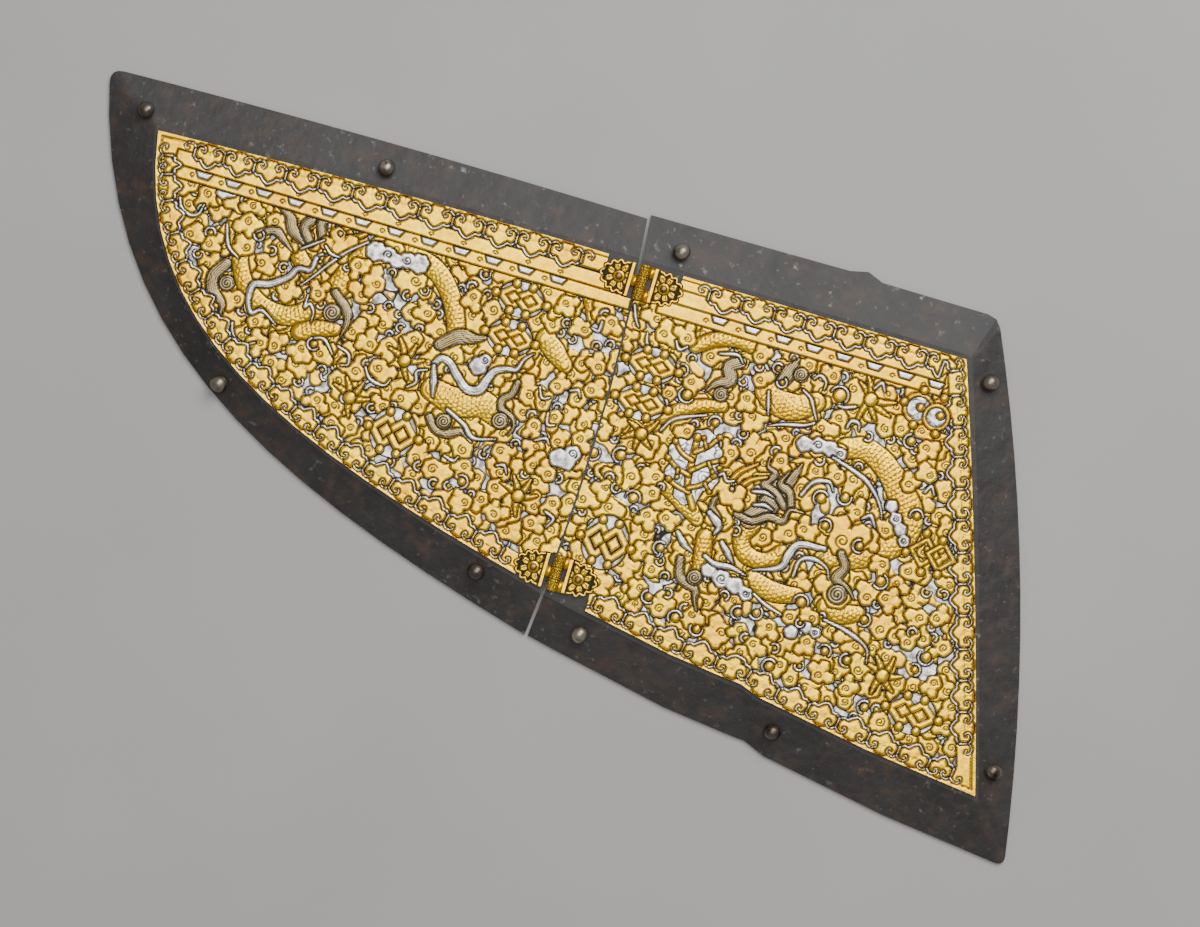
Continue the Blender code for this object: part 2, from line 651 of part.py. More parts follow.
def build_pin(name, middle):
    """The hinge pin, along Y through all three knuckles, with eased ends."""
    half = LEAF_HEIGHT / 2 + PIN_OVERHANG
    ease = PIN_OVERHANG / 2
    profile = [(0, half), (PIN_RADIUS - ease, half), (PIN_RADIUS, half - ease), (PIN_RADIUS, -half + ease),
               (PIN_RADIUS - ease, -half), (0, -half)]
    tilt = Vector((0, 0, 1)).rotation_difference(Vector((0, 1, 0)))
    turned(name, profile, REAR, IRON_PIN, Vector((0, middle, AXIS_HEIGHT)), tilt)


def field_relief(crest_line, low_line, clouds, knots, bodies):
    """The forms of a panel's field, set out between its crest side and its lower side, from the seam on."""

    def spot(across, down):
        return between(crest_line, low_line, across, down)

    forms = [cloud("cloud", spot(*row[:2]), *row[2:]) for row in clouds]
    forms += [knot("knot", spot(*row[:2]), *row[2:]) for row in knots]
    return {"clouds": forms, "bodies": [dragon_body("body", [spot(*pair) for pair in row]) for row in bodies]}


def fore_relief(sides):
    crest_line, lead_line = sides
    rim = [border("border", sides, (FORE_CREST_HEADS, LEAD_HEADS))]
    strips = [leaf_strip("strip", crest_line, *row) for row in FORE_STRIPS]
    field = field_relief(crest_line, lead_line[::-1], FORE_CLOUDS, FORE_KNOTS, FORE_BODIES)
    return {"border": rim, "strips": strips, **field}


def rear_relief(sides):
    low_line, _, crest_line = sides
    rim = [border("border", sides, (LOW_HEADS, REAR_HEADS, REAR_CREST_HEADS))]
    strips = [leaf_strip("strip", crest_line, *row) for row in REAR_STRIPS]
    field = field_relief(crest_line[::-1], low_line, REAR_CLOUDS, REAR_KNOTS, REAR_BODIES)
    return {"border": rim, "strips": strips, **field}


def centre_of(points):
    """The middle of the box that holds the points."""
    xs, ys = [p.x for p in points], [p.y for p in points]
    return Vector(((min(xs) + max(xs)) / 2, (min(ys) + max(ys)) / 2, 0))


clear_scene()
PARTS = new_collection("pair_of_crinet_plates")
HELPERS = new_collection("cutters")
IRON = new_material("dark patinated iron", (0.040, 0.038, 0.038), 0.8, 0.45)
IRON_STUD = new_material("worn iron stud", (0.12, 0.115, 0.11), 0.9, 0.35)
IRON_PIN = new_material("iron pin", (0.09, 0.085, 0.08), 0.9, 0.4)
GILT = new_material("gilt and silvered iron", (0.80, 0.55, 0.20), 1.0, 0.3)
GILT_LEAF = new_material("gilt iron leaf", (0.70, 0.47, 0.15), 1.0, 0.3)
BRASS = new_material("dull brass", (0.33, 0.22, 0.08), 1.0, 0.4)

FORE_PLATE = fore_sides(0, 0, LEAD_PLATE, 0, FORE_CORNER_RADIUS)
FORE_BED = fore_sides(1, BED_EDGE, LEAD_PANEL, 0, BED_EDGE)
FORE_PANEL = fore_sides(1, 0, LEAD_PANEL, PANEL_SEAM_INSET, 0)
FORE_RELIEF = fore_sides(1, -BORDER_STEP, LEAD_PANEL, PANEL_SEAM_INSET + BORDER_STEP, 0)
REAR_PLATE = rear_sides(0, 0, 0, EDGE_WEAR, REAR_CORNER_RADIUS)
REAR_BED = rear_sides(1, BED_EDGE, 0, 0, BED_EDGE)
REAR_PANEL = rear_sides(1, 0, PANEL_SEAM_INSET, 0, 0)
REAR_RELIEF = rear_sides(1, -BORDER_STEP, PANEL_SEAM_INSET + BORDER_STEP, 0, 0)

ROOT = bpy.data.objects.new("crinet_plates", None)
REAR = bpy.data.objects.new("rear_side", None)
FORE = bpy.data.objects.new("fore_side", None)
for empty in (ROOT, REAR, FORE):
    PARTS.objects.link(empty)
REAR.parent = ROOT
FORE.parent = ROOT
FORE.location = (0, 0, AXIS_HEIGHT)
ROOT.location = -centre_of(joined(FORE_PLATE) + joined(REAR_PLATE))
bpy.context.view_layer.update()

build_side("fore", -1, FORE, FORE_PLATE, FORE_BED, FORE_PANEL, fore_relief(FORE_RELIEF), FORE_STUDS)
build_side("rear", 1, REAR, REAR_PLATE, REAR_BED, REAR_PANEL, rear_relief(REAR_RELIEF), REAR_STUDS)
for level, middle in HINGES:
    build_pin(f"{level}_hinge_pin", middle)
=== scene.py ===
# %% [markdown]
# # A pair of crinet plates
# Crinet plates guard the side of a horse's neck. These two are dark iron with a gilt and silvered relief
# panel on each, and two small pin hinges let them fold with the neck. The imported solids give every
# outline, height and hinge, so this lesson only dresses them: a fine relief in place of each plain panel,
# turned studs, chiselled hinge leaves and a finish for every surface.

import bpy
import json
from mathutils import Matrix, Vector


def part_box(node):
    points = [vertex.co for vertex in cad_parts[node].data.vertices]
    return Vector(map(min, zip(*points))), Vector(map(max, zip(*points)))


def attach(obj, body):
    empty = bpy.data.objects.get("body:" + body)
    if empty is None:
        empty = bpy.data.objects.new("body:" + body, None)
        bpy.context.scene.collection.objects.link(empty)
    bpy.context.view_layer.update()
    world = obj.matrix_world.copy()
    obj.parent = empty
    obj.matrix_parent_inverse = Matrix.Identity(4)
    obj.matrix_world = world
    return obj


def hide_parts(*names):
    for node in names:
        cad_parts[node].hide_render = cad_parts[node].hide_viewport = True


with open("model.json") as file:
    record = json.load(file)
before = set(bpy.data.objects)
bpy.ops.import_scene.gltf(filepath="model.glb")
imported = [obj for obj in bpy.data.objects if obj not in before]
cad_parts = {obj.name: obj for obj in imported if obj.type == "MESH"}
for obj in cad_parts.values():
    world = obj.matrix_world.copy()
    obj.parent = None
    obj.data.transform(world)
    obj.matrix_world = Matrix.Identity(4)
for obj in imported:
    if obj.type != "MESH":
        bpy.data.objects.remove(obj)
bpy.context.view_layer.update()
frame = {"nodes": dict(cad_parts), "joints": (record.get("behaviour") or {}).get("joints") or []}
MM = 0.001
HINGE = frame["joints"][0]["pos_m"]
print("hinge axis at", HINGE, "nodes:", len(frame["nodes"]))

# %% [markdown]
# ## Reading outlines from the solids
# A relief skin has to fill its panel's outline and leave the same room round the hinge leaves. The outline
# could be typed again, but it is already there: the underside of a solid is flat, and an edge that only
# one of its triangles has is an edge of the outline. Only at the seam does a skin reach a little further
# than its panel, by SEAM_REACH, so that less of the pale floor shows between the two.

# %% The outline of a solid's flat underside
import math

import bmesh
import bpy
import numpy as np


def corners_of(node):
    """The node's triangles, (n, 3, 3), in mm from the hinge axis and the middle between the hinges."""
    mesh = frame["nodes"][node].data
    mesh.calc_loop_triangles()
    points = np.empty(len(mesh.vertices) * 3)
    mesh.vertices.foreach_get("co", points)
    index = np.empty(len(mesh.loop_triangles) * 3, int)
    mesh.loop_triangles.foreach_get("vertices", index)
    points = points.reshape(-1, 3) / MM - [HINGE[0] / MM, HINGE[1] / MM, 0]
    return points[index].reshape(-1, 3, 3)


def foot_outline(node):
    """The longest closed loop of edges that only one triangle of the lowest flat face has."""
    triangles = corners_of(node)
    low = triangles[..., 2].min()
    flat = triangles[(np.abs(triangles[..., 2] - low) < 0.02).all(1)][..., :2]
    points, index = np.unique(np.round(flat.reshape(-1, 2), 3), axis=0, return_inverse=True)
    index = index.reshape(-1, 3)
    edges = np.concatenate([index[:, [0, 1]], index[:, [1, 2]], index[:, [2, 0]]]).tolist()
    pairs = {(a, b) for a, b in edges}
    following = {a: b for a, b in pairs if (b, a) not in pairs}
    loops = []
    while following:
        loop = [next(iter(following))]
        while loop[-1] in following:
            loop.append(following.pop(loop[-1]))
        loops.append(points[loop[:-1]])
    return max(loops, key=lambda loop: np.hypot(*(loop - np.roll(loop, -1, 0)).T).sum())


SEAM_REACH = 0.35
SEAM_ZONE = 6
OUTLINES = {side: foot_outline(f"{side}_panel") for side in ("fore", "rear")}
for side, way in (("fore", 1), ("rear", -1)):
    at_seam = np.abs(OUTLINES[side][:, 0]) < SEAM_ZONE
    OUTLINES[side][at_seam, 0] += way * SEAM_REACH
for side, outline in OUTLINES.items():
    corners = np.round(outline.min(0)), np.round(outline.max(0))
    print(side, "panel outline:", len(outline), "points, between", *corners)

# %% [markdown]
# ## The relief as a height field
# On the real plates a smith chiselled the relief into the iron, laid gold on the high forms and silver on
# the ground, and let the cuts go dark. It could be built from hundreds of small meshes, but they would
# cross each other everywhere. A height field is one skin: each panel is a fine grid, and every form is
# pressed into it in turn. Each form is a signed distance, which is negative inside its outline, so one
# rule gives all of them their height, a rounded edge and a cut round the outside, painted dark as dirt
# and as painted shade in the cut. All numbers are millimetres, from the hinge axis and from the middle
# between the hinges.

# %% The field and the rule that lays a form on it
CELL = 0.35
CUT_PLACE = 0.18
CUT_WIDTH = 0.27
CUT_DEPTH = 0.85
SOFT = 0.16
EDGE_GRIME_AND_SHADE = 0.20


def new_field(outline, cell=CELL):
    """A grid of points a cell apart over the outline, each with a height, silver, dullness and grime."""
    low, high = outline.min(0) - 2 * cell, outline.max(0) + 2 * cell
    x, y = np.meshgrid(np.arange(low[0], high[0], cell), np.arange(low[1], high[1], cell))
    field = {"x": x, "y": y, "silver": np.ones_like(x)}
    field.update({name: np.zeros_like(x) for name in ("height", "grime", "dull")})
    field["depth"] = -polygon_distance(field, outline)
    return field


def side_distance(view, corners, seam_side):
    """Distance to the outline's sides that have an end farther than seam_side from the hinge axis, which
    leaves out the seam and the hinge leaves' cut-outs."""
    best = np.full(view["x"].shape, 1e9)
    for (ax, ay), (bx, by) in zip(corners, np.roll(corners, -1, axis=0)):
        if max(abs(ax), abs(bx)) < seam_side:
            continue
        ex, ey = bx - ax, by - ay
        t = np.clip(((view["x"] - ax) * ex + (view["y"] - ay) * ey) / (ex * ex + ey * ey), 0, 1)
        best = np.minimum(best, (view["x"] - ax - t * ex) ** 2 + (view["y"] - ay - t * ey) ** 2)
    return np.sqrt(best)


def part_of(field, points, reach):
    """Views of the field's arrays over the box that holds the points, wider by reach."""
    points = np.asarray(points, float).reshape(-1, 2)
    corner = np.array([field["x"][0, 0], field["y"][0, 0]])
    cell = field["x"][0, 1] - corner[0]
    low = np.maximum((points.min(0) - reach - corner) / cell, 0).astype(int)
    high = np.maximum((points.max(0) + reach - corner) / cell + 2, 0).astype(int)
    return {name: values[low[1] : high[1], low[0] : high[0]] for name, values in field.items()}


def blend(values, target, share):
    """Moves the values in place towards the target by a share."""
    values += (target - values) * share


def lay(view, distance, top, silver=0.0, edge=0.8, lip=0.24, cut=1.0, dull=0.0):
    """Lays one form over what is there. A cut runs just outside its outline, painted dark as dirt and as
    painted shade in the cut, and inside it the height is top, less a lip that falls off over the last part,
    edge wide, before the outline."""
    ring = np.exp(-(((distance - CUT_PLACE) / CUT_WIDTH) ** 2)) * cut
    blend(view["height"], 0.0, np.clip(ring * CUT_DEPTH, 0, 1))
    np.maximum(view["grime"], ring, out=view["grime"])
    inside = np.clip(0.5 - distance / (2 * SOFT), 0, 1)
    depth = np.clip(-distance / edge, 0, 1)
    blend(view["height"], top - lip * (1 - depth) ** 2, inside)
    blend(view["silver"], silver, inside)
    blend(view["dull"], dull, inside)
    # Over the falling lip the colour gets a little darker: grime at the foot of the form and painted shade
    # on the lip.
    blend(view["grime"], EDGE_GRIME_AND_SHADE * (1 - depth) ** 3, inside)


def engrave(view, distance, width=0.26, depth=0.28, dark=0.8):
    """Cuts a line and paints it dark, as dirt and painted shade in the cut: the distance is from the
    line's middle.
    """
    line = np.exp(-((distance / width) ** 2))
    view["height"] -= depth * line
    np.maximum(view["grime"], dark * line, out=view["grime"])


def polygon_distance(view, corners):
    """Signed distance to a closed polygon: to its nearest side, negative where a ray crosses it an odd
    number of times."""
    corners = np.asarray(corners, float)
    x, y = view["x"], view["y"]
    best = np.full(x.shape, 1e9)
    odd = np.zeros(x.shape, bool)
    for (ax, ay), (bx, by) in zip(corners, np.roll(corners, -1, axis=0)):
        ex, ey = bx - ax, by - ay
        t = np.clip(((x - ax) * ex + (y - ay) * ey) / (ex * ex + ey * ey), 0, 1)
        best = np.minimum(best, (x - ax - t * ex) ** 2 + (y - ay - t * ey) ** 2)
        if ay != by:
            odd ^= ((ay > y) != (by > y)) & (x < ex * (y - ay) / ey + ax)
    return np.sqrt(best) * np.where(odd, -1, 1)


# %% [markdown]
# ## Lines that bend
# Hooks, ribbons, dragon bodies, claws and tufts all follow a curve. A smooth curve runs through a few
# measured points, and every grid point near it gets two numbers: how far along the curve it is, and how
# far to one side. With those two numbers scales, strands and round backs are the same few lines of
# arithmetic on any curve.

# %% Smooth curves and the forms that follow them


def smooth(points, step=0.8):
    """Points about step apart on the Catmull-Rom curve through the given points: each stretch is the
    cubic whose slope at a point is half the way from the point before it to the point after it."""
    points = np.asarray(points, float)
    framed = np.vstack([2 * points[0] - points[1], points, 2 * points[-1] - points[-2]])
    lengths = np.hypot(*np.diff(points, axis=0).T)
    pieces = [points[:1]]
    for i, length in enumerate(lengths):
        p0, p1, p2, p3 = framed[i : i + 4]
        t = np.linspace(0, 1, max(int(length / step), 2) + 1)[1:, None]
        square = 2 * p0 - 5 * p1 + 4 * p2 - p3
        pieces.append(0.5 * (2 * p1 + (p2 - p0) * t + square * t**2 + (3 * p1 - p0 - 3 * p2 + p3) * t**3))
    return np.vstack(pieces)


def beside(view, path):
    """(way along, way to the left, whole length) of each point, from the nearest stretch of the path."""
    span = np.diff(path, axis=0)
    lengths = np.hypot(*span.T)
    before = np.concatenate([[0.0], np.cumsum(lengths)])
    best = np.full(view["x"].shape, 1e9)
    along = np.zeros_like(best)
    aside = np.zeros_like(best)
    for start, way, length, past in zip(path, span, lengths, before):
        dx, dy = view["x"] - start[0], view["y"] - start[1]
        t = np.clip((dx * way[0] + dy * way[1]) / length**2, 0, 1)
        away = np.hypot(dx - t * way[0], dy - t * way[1])
        nearer = away < best
        best = np.where(nearer, away, best)
        along = np.where(nearer, past + t * length, along)
        aside = np.where(nearer, np.where(way[0] * dy < way[1] * dx, -away, away), aside)
    return along, aside, before[-1]


def stroke(field, points, widths, top=0.95, silver=1.0, lip=0.45, cut=1.0, dull=0.0):
    """A round-backed line along a curve. widths are at its start, its middle and its end."""
    path = smooth(points)
    view = part_of(field, path, max(widths) + 1)
    along, aside, length = beside(view, path)
    half = np.interp(along / length, [0, 0.5, 1], widths) / 2
    lay(view, np.abs(aside) - half, top, silver, max(widths) / 2, lip, cut, dull)
    return view, along, aside, half


def hook(field, x, y, radius, start=0.0, sweep=250.0, width=0.9, silver=1.0):
    """An arc of a circle as a stroke: start and sweep are in degrees."""
    angles = np.radians(start + np.linspace(0, sweep, 9))
    points = np.stack([x + radius * np.cos(angles), y + radius * np.sin(angles)], 1)
    stroke(field, points, (width, width, width * 0.7), silver=silver)


def body(field, points, widths, top=1.15, pitch=1.75, size=1.9):
    """A dragon's body: a round gold back with rows of overlapping scales. A row starts every pitch along,
    and the foremost circle that holds a point draws its edge line there."""
    view, along, aside, half = stroke(field, points, widths, top, silver=0.0, lip=0.55)
    edge = np.full(along.shape, -1.0)
    taken = np.zeros(along.shape, bool)
    for ahead in (1, 0, -1):
        row = np.floor(along / pitch) + ahead
        shift = (row % 2) * 0.5
        column = np.round(aside / size - shift) + shift
        reach = np.hypot(along - row * pitch, aside - column * size) - 0.62 * size
        now = (reach < 0) & ~taken
        edge = np.where(now, reach, edge)
        taken |= now
    inside = np.clip((half - 0.5 - np.abs(aside)) / 0.4, 0, 1)
    # Each scale's edge line is sunk and painted dark: dirt and painted shade in the line.
    line = np.exp(-((edge / 0.22) ** 2)) * inside
    view["height"] += (0.14 * np.clip(-edge / size, 0, 1) - 0.26 * line) * inside
    np.maximum(view["grime"], 0.60 * line, out=view["grime"])


def strands(view, phase, inside):
    """Draws hair: gold and silver take turns as the phase grows by one, with a cut between them that is
    painted dark, as dirt and painted shade.
    """
    blend(view["silver"], np.clip(0.5 + 1.5 * np.cos(math.pi * phase), 0, 0.85), inside)
    line = np.abs(np.sin(math.pi * (phase + 0.5))) ** 6 * inside
    view["height"] -= 0.20 * line
    np.maximum(view["grime"], 0.75 * line, out=view["grime"])


def tuft(field, points, widths, curl=None):
    """A lock of mane along a curve. curl is (x, y, radius, hand) of the coil at its root."""
    view, _, aside, half = stroke(field, points, widths, 1.0, silver=0.4, lip=0.30, dull=1.0)
    strands(view, aside / 0.85 + 0.5, np.clip((half - np.abs(aside)) / 0.3, 0, 1))
    if curl:
        disc(field, *curl[:3], silver=0.45, top=1.1, dull=1.0)
        coil(field, curl[0], curl[1], curl[2] * 0.86, curl[3], turns=2.2)


# %% [markdown]
# ## Clouds, coils, coins and knots
# The clouds are the traditional kind: a few round lobes melt into one form with a scalloped edge, and a
# coil is cut into one or two of the lobes. The lobes of one cloud share one outline, which is the smooth
# minimum of their distances, and a later cloud lies on an earlier one. The large flat ornaments are
# invented: plain knots of two linked lozenges.

# %% Lobes, coils, rings and bars


def lobed(view, lobes):
    """(distance, crown) of a union of slightly wavy lobes: crown is 1 at a lobe's middle, 0 at its edge."""
    total = np.zeros_like(view["x"])
    crown = np.zeros_like(view["x"])
    for x, y, radius in lobes:
        dx, dy = view["x"] - x, view["y"] - y
        bumps = 5 if radius < 4 else 7
        wavy = radius * (1 + 0.05 * np.cos(bumps * np.arctan2(dy, dx) + 2.1 * x + 1.3 * y))
        away = np.hypot(dx, dy) - wavy
        total += np.exp(-away / 0.30)
        crown = np.maximum(crown, np.clip(-away / radius, 0, 1))
    return -0.30 * np.log(total + 1e-12), crown


def coil(field, x, y, radius, hand=1, turns=1.6, start=0.0):
    """A spiral cut: its radius falls evenly with the turning angle, from radius to a sixth of it."""
    view = part_of(field, [(x, y)], radius + 1)
    dx, dy = view["x"] - x, view["y"] - y
    away = np.hypot(dx, dy)
    angle = (hand * np.arctan2(dy, dx) - start) % (2 * math.pi)
    whole = turns * 2 * math.pi
    nearest = np.full(away.shape, 1e9)
    for lap in range(int(turns) + 1):
        turned = angle + lap * 2 * math.pi
        reach = np.abs(away - radius * (1 - 0.84 * turned / whole))
        nearest = np.minimum(nearest, np.where(turned <= whole, reach, 1e9))
    engrave(view, nearest)


def disc(field, x, y, radius, silver=0.0, top=0.95, dull=0.0):
    """A low round boss."""
    view = part_of(field, [(x, y)], radius + 1)
    distance = np.hypot(view["x"] - x, view["y"] - y) - radius
    lay(view, distance, top, silver, edge=radius, lip=0.40, dull=dull)


def cloud(field, lobes, coils=(), silver=0.0, top=0.92):
    """One cloud: its lobes as one outline, crowned a little, with its coils cut in. Each coil's hand and
    start come from its place, so that neighbours differ."""
    view = part_of(field, [lobe[:2] for lobe in lobes], max(lobe[2] for lobe in lobes) + 1)
    distance, crown = lobed(view, lobes)
    lay(view, distance, top + 0.14 * crown, silver)
    for number, (x, y, radius) in enumerate(coils):
        coil(field, x, y, radius, 1 if (number + int(abs(x))) % 2 else -1, start=abs(x * 0.7 + y) % 6.28)


def plate(field, corners, silver=0.0, top=0.9, edge=0.5, lip=0.2, cut=1.0):
    """A flat form with straight sides."""
    view = part_of(field, corners, 1.5)
    lay(view, polygon_distance(view, corners), top, silver, edge, lip, cut)


def ring(field, x, y, radius, band, silver=0.0, top=1.0):
    """A round ring: radius is to its outside."""
    view = part_of(field, [(x, y)], radius + 1.5)
    away = np.hypot(view["x"] - x, view["y"] - y)
    lay(view, np.abs(away - radius + band / 2) - band / 2, top, silver, edge=band / 2, lip=0.3)


def lozenge(field, x, y, half, band):
    """A square ring on its corner."""
    view = part_of(field, [(x, y)], half + 1.5)
    away = (np.abs(view["x"] - x) + np.abs(view["y"] - y) - half) / math.sqrt(2)
    lay(view, np.abs(away + band / 2) - band / 2, 1.0, 0.0, edge=band / 2, lip=0.2)


def claw(field, x, y, palm, tips, width=2.3):
    """A spread claw: knuckled gold fingers run from a palm to the tips."""
    for tip in tips:
        middle = ((x + tip[0]) / 2 + (tip[1] - y) * 0.06, (y + tip[1]) / 2 - (tip[0] - x) * 0.06)
        finger = [(x, y), middle, tip]
        view, along, aside, half = stroke(field, finger, (width, width, 0.9), 1.05, silver=0.0)
        inside = np.clip((half - np.abs(aside)) / 0.4, 0, 1)
        # Each knuckle line is sunk and painted dark: dirt and painted shade.
        knuckle = np.exp(-(((along % 1.9 - 0.95) / 0.25) ** 2)) * inside
        view["height"] -= 0.16 * knuckle
        np.maximum(view["grime"], 0.5 * knuckle, out=view["grime"])
    disc(field, x, y, palm, top=1.1)


def knot(field, x, y, wide, high, bar=2.7):
    """A knot with no meaning, on an oval silver ground: two linked lozenge rings, a smaller ring in each,
    and a ball at every corner. In a lozenge ring the weighted sum of the ways across and up is
    constant."""
    view = part_of(field, [(x, y)], max(wide, high) + 2)
    ground = (np.hypot((view["x"] - x) / wide, (view["y"] - y) / high) - 0.86) * min(wide, high)
    lay(view, ground, 0.12, 1.0, edge=0.5, lip=0.0)
    for shift, scale in ((-0.32, 0.68), (0.32, 0.68), (-0.32, 0.26), (0.32, 0.26)):
        across = np.abs(view["x"] - x - shift * wide) / wide
        away = (across + np.abs(view["y"] - y) / high - scale) / math.hypot(1 / wide, 1 / high)
        lay(view, np.abs(away + bar / 2) - bar / 2, 1.05, 0.0, edge=bar / 2, lip=0.25)
    for u, v in ((-1, 0), (1, 0), (-0.32, 0.68), (0.32, 0.68), (-0.32, -0.68), (0.32, -0.68)):
        disc(field, x + u * wide, y + v * high, bar * 0.62, top=1.15)


# %% [markdown]
# ## The border of wish-cloud heads
# The border of both panels is one unit over and over: a silver wave runs along the edge, at each of its
# crests a stem rises and splits into two ram's-horn curls, and a gold head with three lobes hangs between
# two stems. It could be placed by arc length, but the smith's spacing is a little uneven, so each unit
# stands on a measured point, and the panel's own edge gives its direction there.

# %% One unit of the border, turned to the panel's edge


def facing(field, x, y):
    """(inward unit, along unit, margin) at a point. The margin is the way to the panel's edge, and inward
    is its slope."""
    view = part_of(field, [(x, y)], 1.0)
    rise, run = np.gradient(view["margin"])
    inward = np.array([run.mean(), rise.mean()])
    inward /= np.hypot(*inward)
    away = np.hypot(view["x"] - x, view["y"] - y)
    return inward, np.array([inward[1], -inward[0]]), view["margin"].flat[away.argmin()]


def placed(at, there, pairs, onward):
    """Points from (way along the edge, depth below it) pairs round a point on the border. The way along
    counts towards the direction onward."""
    inward, along, depth = there
    hand = 1 if along @ onward > 0 else -1
    return [at + along * hand * u + inward * (v - depth) for u, v in pairs]


WAVE = ((0.0, 6.3), (1.6, 7.6), (3.2, 7.4), (4.2, 8.6))
CURL = ((0.0, 2.6), (1.6, 1.5), (3.3, 1.7), (4.3, 2.9), (3.7, 4.1), (2.8, 3.6))
STEM = ((0.0, 6.3), (0.0, 2.6))
HEAD_LOBES = (
    (-3.4, 4.7, 2.6), (3.4, 4.7, 2.6), (0.0, 6.6, 2.9), (-1.0, 2.4, 1.7), (1.0, 2.4, 1.7), (0, 8.4, 1.0),
)
BAND_WIDTH = 7.5
RIM_STEP = 1.5
UNIT_LENGTH = 13.2


def border(field, places):
    """The border along one side: a gold head and the wave between each two places, and a stem with two
    curls at each place."""
    places = np.asarray(places, float)
    for first, second in zip(places, places[1:]):
        middle = (first + second) / 2
        there, onward = facing(field, *middle), second - first
        wide = np.hypot(*onward) / UNIT_LENGTH
        spots = placed(middle, there, [(row[0] * wide, row[1]) for row in HEAD_LOBES], onward)
        cloud(field, [(*spot, row[2] * min(wide, 1.1)) for spot, row in zip(spots, HEAD_LOBES)], top=0.98)
        wave = placed(first, facing(field, *first), [(u * wide, v) for u, v in WAVE], onward)
        wave += placed(middle, there, [(0.0, 10.0)], onward)
        back = placed(second, facing(field, *second), [(-u * wide, v) for u, v in WAVE], onward)
        stroke(field, wave + back[::-1], (0.85, 0.85, 0.85))
    for place in places:
        there = facing(field, *place)
        stroke(field, placed(place, there, STEM, there[1]), (0.9, 0.7, 0.6))
        for hand in (-1, 1):
            stroke(field, placed(place, there, CURL, hand * there[1]), (0.6, 0.5, 0.4), cut=0.9)


def rim(field):
    """The gold band along the panel's edge that the border's heads hang from, with a step near the edge."""
    lay(field, field["margin"] - BAND_WIDTH, 0.70, 0.0, edge=0.6, lip=0.2)
    lay(field, field["margin"] - RIM_STEP, 0.95, 0.0, edge=0.5, lip=0.15, cut=0.6)


def ground_gold(field, rng, waves=7, pitch=9.0):
    """Low gold clouds over a part of the silver ground: gold where a sum of seeded cosine waves is above
    a level, with a cut along the line between the two."""
    total = np.zeros_like(field["x"])
    for angle, phase in rng.uniform(0, 2 * math.pi, (waves, 2)):
        across = field["x"] * math.cos(angle) + field["y"] * math.sin(angle)
        total += np.cos(across * 2 * math.pi / pitch + phase)
    lay(field, -(total - 1.0) * 0.7, 0.45, 0.0, cut=0.8)


# %% [markdown]
# ## Where everything sits
# The tables hold places on the photographed plates, in millimetres at the part's own scale.
# A stem row is a place on the border. A coil row is (x, y, radius) of a coil, which gets a cloud of its
# own. A tuft row is (points, width, coil at its root), a body row (points, widths) and a line row (width,
# points). A claw row is (x, y, palm, tips), and a knot row gives a middle, a half width and a half height.

# %% The fore panel's table
FORE_CREST_STEMS = (-185.5, -173.5, -161, -148, -134.5, -120.5, -106.5, -93, -79, -66, -52.5, -39, -25.5)
FORE_CREST_Y = 60.2
FORE_LEAD_STEMS = (
    (-194.5, 56), (-192, 49), (-189, 39), (-184, 27), (-179, 16), (-171.5, 5), (-163.5, -3.5),
    (-154, -11.5), (-142.5, -18), (-131, -24), (-119.5, -28.8), (-108.5, -34), (-97, -37.5),
    (-85.3, -41.8), (-73.4, -46.1), (-61.5, -50.5), (-48.5, -54), (-36, -57), (-23.5, -60.6),
)
FORE_COILS = (
    (-183.5, 47.5, 2.0), (-162, 45, 2.0), (-157, 46, 1.8), (-157, 39.5, 2.0), (-151, 41.5, 2.0),
    (-155, 29.5, 2.0), (-142, 34, 2.0), (-176, 34, 2.2), (-178, 28, 1.8), (-170, 26.5, 1.8),
    (-97.5, 45.5, 1.8), (-110.5, 35, 1.8), (-101, 30, 2.0), (-86.5, 35.5, 2.6), (-105.5, 24, 2.0),
    (-78.5, 24.5, 2.0), (-62.5, 36, 1.8), (-63.5, 41, 1.8), (-34.5, 46, 2.0), (-26.5, 44, 1.8),
    (-29, 40.5, 1.6), (-23, 41.5, 1.8), (-10, 45.5, 2.0), (-7, 41.5, 1.8), (-29, 34, 1.8),
    (-16.5, 36, 1.8), (-168.5, 18.5, 1.8), (-168, 11.5, 1.8), (-153, 8.5, 2.0), (-143.5, 2, 1.8),
    (-139, -5.5, 1.8), (-122.5, 19.5, 1.8), (-105, 9, 2.0), (-97, 6, 1.8), (-80.5, 13, 2.0),
    (-133.5, -5, 1.8), (-122.5, -3, 1.8), (-123, -9.5, 2.2), (-133, -12, 1.8), (-111, -21, 1.8),
    (-103, -28.5, 1.8), (-95, -28, 1.8), (-90, -13, 1.8), (-85, -16.5, 1.8), (-24, 3, 1.8),
    (-18, -1, 1.8), (-20.5, 11, 1.8), (-7, 13.5, 1.8), (-13.5, 22.5, 1.8), (-7, 23, 1.8),
    (-14.5, 2.5, 1.6), (-6, -0.5, 1.8), (-6, -6.5, 1.8), (-25, -6.5, 1.8), (-14, -10, 1.8),
    (-14, -23.5, 1.8), (-16, -37.5, 1.8), (-9, -34, 1.8), (-47, -30, 1.8), (-41, -32.5, 1.8),
    (-59, -34.5, 2.4), (-43, -43.5, 1.8), (-37, -40.5, 1.8), (-30.5, -45, 1.8), (-15.5, -44, 1.8),
    (-115, -3, 2.0), (-91, -2, 2.2), (-147, 42.5, 2.0),
)
